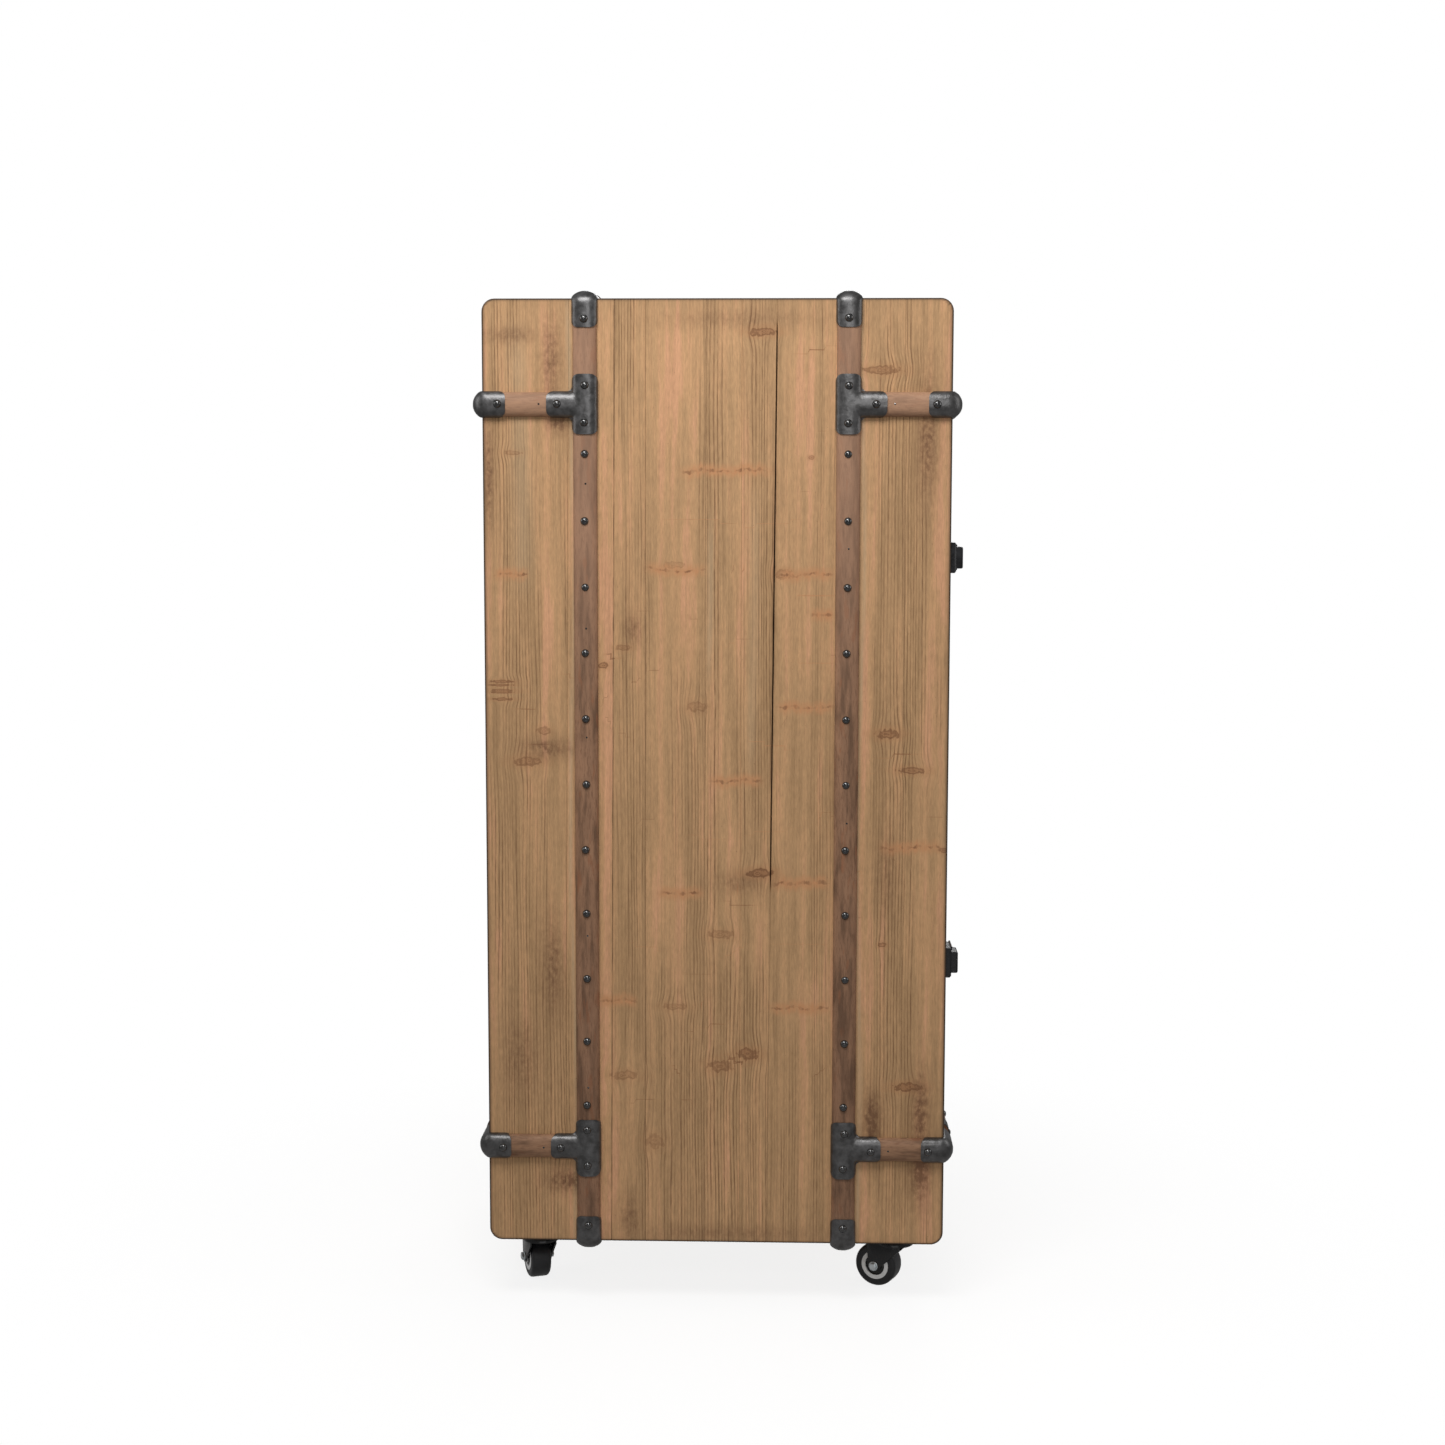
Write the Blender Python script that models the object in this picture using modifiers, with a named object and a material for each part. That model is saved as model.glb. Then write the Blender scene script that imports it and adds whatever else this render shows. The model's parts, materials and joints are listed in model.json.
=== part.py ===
"""A trunk-style armoire on casters: a boarded box with a shallow tray door that swings on the left, closed by
two draw latches on the right. Metres, +Z up, the door faces -Y, and the origin is on the floor under the
middle of the whole object. Sizes are first worked out in the box's own frame, where x = 0 is the middle of
the box, y = 0 its front face and z = 0 the floor; the empty "armoire_origin" carries that frame to its place.
"""

import bmesh
import bpy
from math import cos, pi, radians, sin
from mathutils import Matrix, Vector

# ---------------------------------------------------------------- driving dimensions
BOX_WIDTH = 0.584
BOX_DEPTH = 0.520
BOX_HEIGHT = 1.200
BOX_LIFT = 0.084  # floor to the underside of the box
CORNER_RADIUS = 0.016
WALL = 0.018
BOARD_EDGE = 0.0012  # eased edges of the boards
GAP = 0.0003  # between pieces that touch

DOOR_DEPTH = 0.048
DOOR_PANEL = 0.015
SEAM = 0.002  # between the door and the carcass
BACK_PANEL = 0.009
BACK_INSET = 0.003

SHELF_THICKNESS = 0.018
SHELF_BELOW_TOP = 0.197  # top of the box to the underside of the hat shelf
SHELF_SETBACK = 0.006
ROD_RADIUS = 0.0125
ROD_BELOW_SHELF = 0.050  # underside of the shelf to the rod's centre
SOCKET_FLANGE_RADIUS = 0.022
SOCKET_FLANGE = 0.003
SOCKET_CUP = 0.012
SOCKET_WALL = 0.003

BATTEN_WIDTH = 0.030
BATTEN_HEIGHT = 0.0105
BATTEN_ROUND = 0.007
BATTEN_SPACING = 0.327  # between the two upright battens
TOP_BATTEN_HEIGHT = 0.009
STRAP_SETBACK = 0.0055  # straps stop this far from the door's and the carcass's edges
IRON = 0.0012  # sheet of the iron fittings
FITTING_ROUND = 0.008
TEE_LENGTH = 0.074
TEE_REACH = 0.0475  # batten's centre line to the end of the tee's arm
TEE_BELOW_TOP = 0.130
TEE_ABOVE_BOTTOM = 0.126
EDGE_CAP_LENGTH = 0.036  # on the front face
CORNER_CAP_LENGTH = 0.030  # on the front face

HINGE_HEIGHTS = (0.330, 0.870)  # above the underside of the box
HINGE_LENGTH = 0.060
HINGE_LEAF = 0.024
LEAF_THICKNESS = 0.002
KNUCKLE_RADIUS = 0.003
HINGE_OFFSET = 0.0036  # axis outside the box's side
PIN_RADIUS = 0.0015
RUNNING_GAP = 0.0003

LATCH_HEIGHTS = (0.368, 0.881)  # above the underside of the box
LATCH_HEIGHT = 0.038
LATCH_TRAY_DEPTH = 0.0070
LATCH_SHEET = 0.002
LATCH_FROM_SEAM = 0.003  # middle of the seam to the tray and to the keeper
TRAY_LENGTH = 0.042
KEEPER_LENGTH = 0.031
LEVER_HEIGHT = 0.027
LEVER_OUTER = 0.0155  # box's side to the lever's outer face
LEVER_LENGTH = 0.0295  # pivot to the free end
LEVER_PIVOT_OUT = 0.0085
LEVER_PIVOT_BACK = 0.0125  # middle of the seam to the pivot
BAIL_CRANK = 0.008  # lever's pivot to the bail's
BAIL_WIRE = 0.00125
BAIL_REACH = 0.0215  # middle of the seam to the bail's crossbar
TONGUE_HEIGHT = 0.0069

WHEEL_RADIUS = 0.0285
WHEEL_WIDTH = 0.028
TREAD_ROUND = 0.0036
HUB_RADIUS = 0.0191  # inside the tyre
HUB_BOSS_RADIUS = 0.0095
HUB_DISH = 0.002
AXLE_RADIUS = 0.003
AXLE_GAP = 0.0004
BOLT_RADIUS = 0.005
FORK_LEG = 0.0025
FORK_GAP = 0.0015  # wheel to leg
CROWN_RADIUS = 0.0235
CROWN_THICKNESS = 0.008
CROWN_OVER_WHEEL = 0.003
CASTER_TRAIL = 0.0235
CASTER_PLATE = 0.050
PLATE_THICKNESS = 0.003
PLATE_CORNER = 0.006
RACE_RADIUS = 0.019
RACE_THICKNESS = 0.0035
BASE_SIDE_INSET = 0.030
BASE_END_INSET = 0.002
CASTER_X = 0.235
FRONT_CASTER_Y = 0.080
REAR_CASTER_INSET = 0.056  # back of the box to the rear casters' axes
CASTER_TURNS = {  # direction in which each wheel trails, in degrees about +Z from +X
    "front_left": 110.0,
    "front_right": 155.0,
    "rear_left": 62.0,
    "rear_right": 118.0,
}

# ---------------------------------------------------------------- sizes that follow
BOX_TOP = BOX_LIFT + BOX_HEIGHT
HALF_WIDTH = BOX_WIDTH / 2
SEAM_Y = DOOR_DEPTH + SEAM / 2
CARCASS_FRONT = DOOR_DEPTH + SEAM
BACK_FACE = BOX_DEPTH - BACK_INSET - BACK_PANEL
SHELF_UNDER = BOX_TOP - SHELF_BELOW_TOP
ROD_Z = SHELF_UNDER - ROD_BELOW_SHELF
ROD_Y = (CARCASS_FRONT + BACK_FACE) / 2
FITTING_HEIGHT = BATTEN_HEIGHT + 2 * GAP + IRON  # face of the box to the outside of a fitting
TEE_HEIGHTS = {"upper": BOX_TOP - TEE_BELOW_TOP, "lower": BOX_LIFT + TEE_ABOVE_BOTTOM}
TOP_CAP_RISE = TOP_BATTEN_HEIGHT + 2 * GAP
SIDES = {"left": -1, "right": 1}
CROWN_UNDER = 2 * WHEEL_RADIUS + CROWN_OVER_WHEEL
CROWN_TOP = CROWN_UNDER + CROWN_THICKNESS
PLATE_UNDER = CROWN_TOP + GAP + RACE_THICKNESS
PLATE_TOP = PLATE_UNDER + PLATE_THICKNESS
SHIFT_X = (FITTING_HEIGHT - LEVER_OUTER) / 2
SHIFT_Y = (FITTING_HEIGHT - BOX_DEPTH) / 2

SMOOTH_ANGLE = radians(35)
ARC_STEPS = 3
ROUND_STEPS = 20

MATERIALS = {  # colour, roughness, metallic
    "fir_board": ((0.36, 0.22, 0.12), 0.6, 0.0),
    "batten_wood": ((0.20, 0.10, 0.06), 0.6, 0.0),
    "forged_iron": ((0.07, 0.07, 0.075), 0.45, 0.9),
    "latch_steel": ((0.03, 0.03, 0.033), 0.4, 0.8),
    "hinge_steel": ((0.06, 0.06, 0.065), 0.45, 0.9),
    "rod_steel": ((0.12, 0.12, 0.125), 0.35, 1.0),
    "caster_steel": ((0.02, 0.02, 0.02), 0.4, 0.6),
    "caster_tyre": ((0.02, 0.02, 0.022), 0.6, 0.0),
}


# ---------------------------------------------------------------- scene and objects
def clear_scene():
    for obj in list(bpy.data.objects):
        bpy.data.objects.remove(obj, do_unlink=True)


def add_collection(name):
    collection = bpy.data.collections.new(name)
    bpy.context.scene.collection.children.link(collection)
    return collection


def add_material(name):
    colour, roughness, metallic = MATERIALS[name]
    material = bpy.data.materials.new(name)
    material.use_nodes = True
    shader = material.node_tree.nodes["Principled BSDF"]
    shader.inputs["Base Color"].default_value = (*colour, 1.0)
    shader.inputs["Roughness"].default_value = roughness
    shader.inputs["Metallic"].default_value = metallic
    return material


clear_scene()
PARTS = add_collection("armoire")
CUTTERS = add_collection("armoire_cutters")
FINISHES = {name: add_material(name) for name in MATERIALS}


def add_pivot(name, place, parent=None, turn=0.0):
    """An empty at a place in its parent's frame, turned about the upright axis."""
    pivot = bpy.data.objects.new(name, None)
    pivot.empty_display_size = 0.03
    PARTS.objects.link(pivot)
    pivot.parent = parent
    pivot.location = place
    pivot.rotation_euler.z = turn
    return pivot


ORIGIN = add_pivot("armoire_origin", (SHIFT_X, SHIFT_Y, 0.0))
BODY_PLACES = {ORIGIN.name: Vector((0, 0, 0))}  # each pivot's place in the box's frame


def add_body(name, place, parent=ORIGIN):
    """A pivot given in the box's frame, for the pieces of one moving body."""
    place = Vector(place)
    pivot = add_pivot(name, place - BODY_PLACES[parent.name], parent)
    BODY_PLACES[name] = place
    return pivot


def mesh_object(name, bm, collection):
    """The mesh's centre becomes the object's origin."""
    centre = middle_of(bm)
    bmesh.ops.translate(bm, verts=bm.verts, vec=-centre)
    mesh = bpy.data.meshes.new(name)
    bm.to_mesh(mesh)
    bm.free()
    obj = bpy.data.objects.new(name, mesh)
    collection.objects.link(obj)
    obj.location = centre
    return obj


def add_piece(name, bm, finish, body=ORIGIN):
    """A named piece whose mesh is given in the box's frame."""
    obj = mesh_object(name, bm, PARTS)
    obj.data.materials.append(FINISHES[finish])
    obj.parent = body
    obj.location -= BODY_PLACES.get(body.name, Vector())
    obj.data.shade_smooth()
    obj.data.set_sharp_from_angle(angle=SMOOTH_ANGLE)
    return obj


def join_shape(obj, bm, operation="UNION"):
    """Adds a shape to an object, or cuts it out, with a hidden helper object beside it."""
    helper = mesh_object(f"{obj.name}_{operation.lower()}", bm, CUTTERS)
    helper.parent = obj.parent
    helper.location -= BODY_PLACES.get(obj.parent.name, Vector())
    helper.hide_render = True
    helper.display_type = "WIRE"
    modifier = obj.modifiers.new(operation.title(), "BOOLEAN")
    modifier.operation = operation
    modifier.solver = "EXACT"
    modifier.object = helper


def cut_shape(obj, bm):
    join_shape(obj, bm, "DIFFERENCE")


# ---------------------------------------------------------------- shapes
def middle_of(bm):
    """The middle of the mesh's box."""
    return Vector([(min(v.co[i] for v in bm.verts) + max(v.co[i] for v in bm.verts)) / 2 for i in range(3)])


def block(low, high):
    """A box between two opposite corners, in any order."""
    low, high = Vector(low), Vector(high)
    size = high - low
    bm = bmesh.new()
    bmesh.ops.create_cube(bm, size=1.0)
    bmesh.ops.scale(bm, vec=[abs(side) for side in size], verts=bm.verts)
    bmesh.ops.translate(bm, vec=(low + high) / 2, verts=bm.verts)
    return bm


def round_edges(bm, edges, radius, steps=ARC_STEPS):
    bmesh.ops.bevel(
        bm, geom=edges, offset=radius, segments=steps, profile=0.5, affect="EDGES", clamp_overlap=True
    )
    return bm


def edges_where(bm, test):
    """The edges whose two ends both pass the test."""
    return [edge for edge in bm.edges if all(test(v.co) for v in edge.verts)]


def far_side(bm, direction):
    """A test for points on the mesh's farthest face in a direction."""
    direction = Vector(direction)
    far = max(v.co.dot(direction) for v in bm.verts)
    return lambda point: point.dot(direction) > far - GAP / 2


def rounded_bar(low, high, outward, radius=BATTEN_ROUND, closed_ends=(), steps=ARC_STEPS):
    """A half-round bar: a box whose outward face has round long edges, and round ends where asked."""
    bm = block(low, high)
    on_face = far_side(bm, outward)
    open_ends = [far_side(bm, end) for end in closed_ends]
    size = Vector(high) - Vector(low)
    length = max(range(3), key=lambda i: abs(size[i]))

    def wanted(edge):
        a, b = (v.co for v in edge.verts)
        if not (on_face(a) and on_face(b)):
            return False
        along = abs(a[length] - b[length]) > abs(size[length]) / 2
        return along or any(end(a) and end(b) for end in open_ends)

    return round_edges(bm, [edge for edge in bm.edges if wanted(edge)], radius, steps)


def cylinder(start, end, radius, steps=ROUND_STEPS, end_radius=None):
    """A cylinder or cone between two points."""
    start, end = Vector(start), Vector(end)
    axis = end - start
    bm = bmesh.new()
    bmesh.ops.create_cone(
        bm,
        cap_ends=True,
        segments=steps,
        radius1=radius,
        radius2=radius if end_radius is None else end_radius,
        depth=axis.length,
    )
    turn = axis.to_track_quat("Z", "X").to_matrix().to_4x4()
    bmesh.ops.transform(bm, matrix=Matrix.Translation((start + end) / 2) @ turn, verts=bm.verts)
    return bm


def hull_of(*shapes):
    """The tightest convex shape around several shapes."""
    bm = bmesh.new()
    for shape in shapes:
        for vert in shape.verts:
            bm.verts.new(vert.co)
        shape.free()
    found = bmesh.ops.convex_hull(bm, input=bm.verts)
    loose = {g for g in found["geom_interior"] + found["geom_unused"] if isinstance(g, bmesh.types.BMVert)}
    bmesh.ops.delete(bm, geom=list(loose), context="VERTS")
    bmesh.ops.recalc_face_normals(bm, faces=bm.faces)
    return bm


def wire(points, radius, name):
    """A round wire through points, as a mesh with welded caps."""
    curve = bpy.data.curves.new(name, "CURVE")
    curve.dimensions = "3D"
    curve.bevel_depth = radius
    curve.bevel_resolution = 2
    curve.use_fill_caps = True
    spline = curve.splines.new("POLY")
    spline.points.add(len(points) - 1)
    for point, place in zip(spline.points, points):
        point.co = (*place, 1.0)
    holder = bpy.data.objects.new(name, curve)
    bpy.context.scene.collection.objects.link(holder)
    evaluated = holder.evaluated_get(bpy.context.evaluated_depsgraph_get())
    mesh = bpy.data.meshes.new_from_object(evaluated)
    bm = bmesh.new()
    bm.from_mesh(mesh)
    bmesh.ops.remove_doubles(bm, verts=bm.verts, dist=1e-6)
    bpy.data.objects.remove(holder, do_unlink=True)
    return bm


# ---------------------------------------------------------------- carcass
def add_board(name, low, high, finish="fir_board", round_corners=(), body=ORIGIN):
    """A flat board. round_corners holds the (x side, z side) of the edges that form the box's corners."""
    bm = block(low, high)
    for x_side, z_side in round_corners:
        at_x, at_z = far_side(bm, (x_side, 0, 0)), far_side(bm, (0, 0, z_side))
        corner = edges_where(bm, lambda p, at_x=at_x, at_z=at_z: at_x(p) and at_z(p))
        round_edges(bm, corner, CORNER_RADIUS, 2 * ARC_STEPS)
    board = add_piece(name, bm, finish, body)
    ease = board.modifiers.new("Eased edges", "BEVEL")
    ease.width = BOARD_EDGE
    ease.segments = 1
    ease.limit_method = "ANGLE"
    ease.angle_limit = radians(50)
    return board


def make_carcass():
    inside = HALF_WIDTH - WALL - GAP
    for side, sign in SIDES.items():
        add_board(
            f"{side}_side",
            (sign * (HALF_WIDTH - WALL), CARCASS_FRONT, BOX_LIFT),
            (sign * HALF_WIDTH, BOX_DEPTH, BOX_TOP),
            round_corners=((sign, 1), (sign, -1)),
        )
    floor_top = BOX_LIFT + WALL
    roof_under = BOX_TOP - WALL
    board_end = BACK_FACE - GAP
    add_board("carcass_top", (-inside, CARCASS_FRONT, roof_under), (inside, board_end, BOX_TOP))
    add_board("carcass_bottom", (-inside, CARCASS_FRONT, BOX_LIFT), (inside, board_end, floor_top))
    add_board("back_panel", (-inside, BACK_FACE, BOX_LIFT), (inside, BACK_FACE + BACK_PANEL, BOX_TOP))
    add_board(
        "hat_shelf",
        (-inside, CARCASS_FRONT + SHELF_SETBACK, SHELF_UNDER),
        (inside, BACK_FACE - GAP, SHELF_UNDER + SHELF_THICKNESS),
    )
    add_board(
        "base_board",
        (BASE_SIDE_INSET - HALF_WIDTH, CARCASS_FRONT + BASE_END_INSET, PLATE_TOP + GAP),
        (HALF_WIDTH - BASE_SIDE_INSET, BOX_DEPTH - BASE_END_INSET, BOX_LIFT - GAP),
    )


def make_hanging_rod():
    wall = HALF_WIDTH - WALL
    rod_end = wall - GAP - SOCKET_FLANGE - GAP
    rod = cylinder((-rod_end, ROD_Y, ROD_Z), (rod_end, ROD_Y, ROD_Z), ROD_RADIUS)
    add_piece("hanging_rod", rod, "rod_steel")
    bore = ROD_RADIUS + RUNNING_GAP
    for side, sign in SIDES.items():
        start = Vector((sign * (wall - GAP), ROD_Y, ROD_Z))
        inward = Vector((-sign, 0, 0))
        flange_face = start + inward * SOCKET_FLANGE
        mouth = flange_face + inward * SOCKET_CUP
        socket = add_piece(
            f"rod_socket_{side}", cylinder(start, flange_face, SOCKET_FLANGE_RADIUS), "rod_steel"
        )
        join_shape(socket, cylinder(start + inward * SOCKET_FLANGE / 2, mouth, bore + SOCKET_WALL))
        cut_shape(socket, cylinder(flange_face, mouth + inward * SOCKET_CUP, bore))


def make_carcass_battens():
    front = CARCASS_FRONT + STRAP_SETBACK
    back = BOX_DEPTH - STRAP_SETBACK
    for level, height in TEE_HEIGHTS.items():
        for side, sign in SIDES.items():
            low = (sign * (HALF_WIDTH + GAP), front, height - BATTEN_WIDTH / 2)
            high = (sign * (HALF_WIDTH + GAP + BATTEN_HEIGHT), back, height + BATTEN_WIDTH / 2)
            bar = rounded_bar(low, high, (sign, 0, 0), FITTING_ROUND, ((0, -1, 0), (0, 1, 0)))
            add_piece(f"side_batten_{level}_{side}", bar, "batten_wood")
    for side, sign in SIDES.items():
        middle = sign * BATTEN_SPACING / 2
        low = (middle - BATTEN_WIDTH / 2, front, BOX_TOP + GAP)
        high = (middle + BATTEN_WIDTH / 2, back, BOX_TOP + GAP + TOP_BATTEN_HEIGHT)
        bar = rounded_bar(low, high, (0, 0, 1), BATTEN_ROUND, ((0, -1, 0), (0, 1, 0)))
        add_piece(f"top_batten_{side}", bar, "batten_wood")


# ---------------------------------------------------------------- door
def batten_on_face(low_x, high_x, low_z, high_z, radius=BATTEN_ROUND, proud=0.0, sunk=0.0):
    """A half-round bar on the door's face, standing proud of the plain batten or reaching behind it."""
    return rounded_bar(
        (low_x, sunk - GAP, low_z), (high_x, -GAP - BATTEN_HEIGHT - proud, high_z), (0, -1, 0), radius
    )


def make_door_box(door):
    corners = ((-1, -1), (-1, 1), (1, -1), (1, 1))
    add_board(
        "door_panel",
        (-HALF_WIDTH, 0, BOX_LIFT),
        (HALF_WIDTH, DOOR_PANEL, BOX_TOP),
        round_corners=corners,
        body=door,
    )
    frame = add_board(
        "door_frame",
        (-HALF_WIDTH, DOOR_PANEL + GAP, BOX_LIFT),
        (HALF_WIDTH, DOOR_DEPTH, BOX_TOP),
        round_corners=corners,
        body=door,
    )
    opening = block(
        (WALL - HALF_WIDTH, -DOOR_DEPTH, BOX_LIFT + WALL),
        (HALF_WIDTH - WALL, 2 * DOOR_DEPTH, BOX_TOP - WALL),
    )
    cut_shape(frame, opening)


def make_door_battens(door):
    for side, sign in SIDES.items():
        middle = sign * BATTEN_SPACING / 2
        upright = batten_on_face(
            middle - BATTEN_WIDTH / 2,
            middle + BATTEN_WIDTH / 2,
            BOX_LIFT + EDGE_CAP_LENGTH + GAP,
            BOX_TOP - EDGE_CAP_LENGTH - GAP,
        )
        add_piece(f"door_batten_{side}", upright, "batten_wood", door)
        for level, height in TEE_HEIGHTS.items():
            inner = middle + sign * (BATTEN_WIDTH / 2 + GAP)
            outer = sign * (HALF_WIDTH - CORNER_CAP_LENGTH - GAP)
            short = batten_on_face(inner, outer, height - BATTEN_WIDTH / 2, height + BATTEN_WIDTH / 2)
            add_piece(f"cross_batten_{level}_{side}", short, "batten_wood", door)


def make_tees(door):
    """Sheet iron tees that sit over the battens where a cross batten meets an upright."""
    half = BATTEN_WIDTH / 2 + GAP
    outer_half = half + IRON
    proud = GAP + IRON
    for level, height in TEE_HEIGHTS.items():
        for side, sign in SIDES.items():
            middle = sign * BATTEN_SPACING / 2
            low_z, high_z = height - TEE_LENGTH / 2, height + TEE_LENGTH / 2
            leg = batten_on_face(
                middle - outer_half, middle + outer_half, low_z, high_z, FITTING_ROUND, proud
            )
            tee = add_piece(f"tee_{level}_{side}", leg, "forged_iron", door)
            reach = middle + sign * TEE_REACH
            arm = batten_on_face(
                middle, reach, height - outer_half, height + outer_half, FITTING_ROUND, proud
            )
            join_shape(tee, arm)
            over = TEE_LENGTH
            upright = batten_on_face(
                middle - half, middle + half, low_z - over, high_z + over, proud=GAP, sunk=DOOR_PANEL
            )
            cut_shape(tee, upright)
            cross = batten_on_face(
                middle, reach + sign * over, height - half, height + half, proud=GAP, sunk=DOOR_PANEL
            )
            cut_shape(tee, cross)


def door_core():
    """The space that the door's box fills, with the usual gap round it."""
    return block(
        (-HALF_WIDTH - GAP, -GAP, BOX_LIFT - GAP), (HALF_WIDTH + GAP, BOX_DEPTH, BOX_TOP + GAP)
    )


def add_wrapped_cap(name, low, high, open_end, door):
    """A cap folded round the door's edge: a block with round edges, less the door, plain by the batten."""
    bm = block(low, high)
    at_batten = far_side(bm, open_end)
    edges = [edge for edge in bm.edges if not all(at_batten(v.co) for v in edge.verts)]
    round_edges(bm, edges, FITTING_ROUND)
    cap = add_piece(name, bm, "forged_iron", door)
    cut_shape(cap, door_core())


def make_caps(door):
    half = BATTEN_WIDTH / 2 + GAP + IRON
    back = DOOR_DEPTH - STRAP_SETBACK
    for side, sign in SIDES.items():
        middle = sign * BATTEN_SPACING / 2
        for level, edge, way in (("top", BOX_TOP, 1), ("bottom", BOX_LIFT, -1)):
            add_wrapped_cap(
                f"edge_cap_{level}_{side}",
                (middle - half, -FITTING_HEIGHT, edge - way * EDGE_CAP_LENGTH),
                (middle + half, back, edge + way * TOP_CAP_RISE),
                (0, 0, -way),
                door,
            )
        for level, height in TEE_HEIGHTS.items():
            add_wrapped_cap(
                f"corner_cap_{level}_{side}",
                (sign * (HALF_WIDTH - CORNER_CAP_LENGTH), -FITTING_HEIGHT, height - half),
                (sign * (HALF_WIDTH + FITTING_HEIGHT), back, height + half),
                (-sign, 0, 0),
                door,
            )


# ---------------------------------------------------------------- hinges
def make_hinge_leaf(name, height, way, segments, body):
    """A leaf on the box's left side. way is +1 behind the seam and -1 in front; segments are its knuckles."""
    axis = Vector((-HALF_WIDTH - HINGE_OFFSET, SEAM_Y, height))
    low = height - HINGE_LENGTH / 2
    near = SEAM_Y + way * (KNUCKLE_RADIUS + LEAF_THICKNESS)
    far = near + way * HINGE_LEAF
    plate_in, plate_out = -HALF_WIDTH - GAP, -HALF_WIDTH - GAP - LEAF_THICKNESS
    leaf = add_piece(
        name, block((plate_out, near, low), (plate_in, far, low + HINGE_LENGTH)), "hinge_steel", body
    )
    third = HINGE_LENGTH / 3
    for n in segments:
        start, end = low + n * third + GAP, low + (n + 1) * third - GAP
        join_shape(leaf, block((plate_out, SEAM_Y, start), (plate_in, near + way * GAP, end)))
        join_shape(leaf, cylinder((axis.x, axis.y, start), (axis.x, axis.y, end), KNUCKLE_RADIUS, 16))
    return leaf, axis, low


def make_hinges(door):
    for n, height in enumerate(HINGE_HEIGHTS):
        level = ("lower", "upper")[n]
        place = BOX_LIFT + height
        fixed, axis, low = make_hinge_leaf(f"hinge_leaf_fixed_{level}", place, 1, (0, 2), ORIGIN)
        inset = HINGE_LENGTH / 6
        pin = cylinder(
            (axis.x, axis.y, low + inset), (axis.x, axis.y, low + HINGE_LENGTH - inset), PIN_RADIUS, 16
        )
        join_shape(fixed, pin)
        moving, axis, low = make_hinge_leaf(f"hinge_leaf_door_{level}", place, -1, (1,), door)
        bore = cylinder(
            (axis.x, axis.y, low), (axis.x, axis.y, low + HINGE_LENGTH), PIN_RADIUS + RUNNING_GAP, 16
        )
        cut_shape(moving, bore)


# ---------------------------------------------------------------- draw latches
def latch_point(out, back, up=0.0):
    """A point from its distance outside the right side, behind the middle of the seam, and over the latch."""
    return Vector((HALF_WIDTH + out, SEAM_Y + back, up))


def make_latch_tray(name, middle, door):
    """The tray that carries the lever: a shallow box open outward and at the seam, with two ears."""
    half = LATCH_HEIGHT / 2
    front, back = -LATCH_FROM_SEAM - TRAY_LENGTH, -LATCH_FROM_SEAM
    up = Vector((0, 0, middle))
    tray = rounded_bar(
        latch_point(GAP, front, -half) + up,
        latch_point(LATCH_TRAY_DEPTH, back, half) + up,
        (1, 0, 0),
        LATCH_SHEET,
        ((0, -1, 0),),
        1,
    )
    tray = add_piece(name, tray, "latch_steel", door)
    inner = half - LATCH_SHEET
    floor_top = GAP + LATCH_SHEET
    pocket = block(
        latch_point(floor_top, front + LATCH_SHEET, -inner) + up,
        latch_point(2 * LATCH_TRAY_DEPTH, SEAM, inner) + up,
    )
    cut_shape(tray, pocket)
    ear_radius = 2 * PIN_RADIUS
    ear_low = LEVER_HEIGHT / 2 - 2 * LATCH_SHEET - GAP
    for sign in (-1, 1):
        low_z = middle + sign * (ear_low - LATCH_SHEET / 2)
        high_z = middle + sign * (ear_low + LATCH_SHEET / 2)
        foot = block(
            latch_point(floor_top - LATCH_SHEET / 2, -LEVER_PIVOT_BACK - ear_radius, low_z),
            latch_point(floor_top + LATCH_SHEET / 2, -LEVER_PIVOT_BACK + ear_radius, high_z),
        )
        eye = cylinder(
            latch_point(LEVER_PIVOT_OUT, -LEVER_PIVOT_BACK, low_z),
            latch_point(LEVER_PIVOT_OUT, -LEVER_PIVOT_BACK, high_z),
            ear_radius,
            16,
        )
        join_shape(tray, hull_of(foot, eye))
    bore = cylinder(
        latch_point(LEVER_PIVOT_OUT, -LEVER_PIVOT_BACK, middle - LEVER_HEIGHT / 2),
        latch_point(LEVER_PIVOT_OUT, -LEVER_PIVOT_BACK, middle + LEVER_HEIGHT / 2),
        PIN_RADIUS + RUNNING_GAP,
        12,
    )
    cut_shape(tray, bore)


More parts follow.
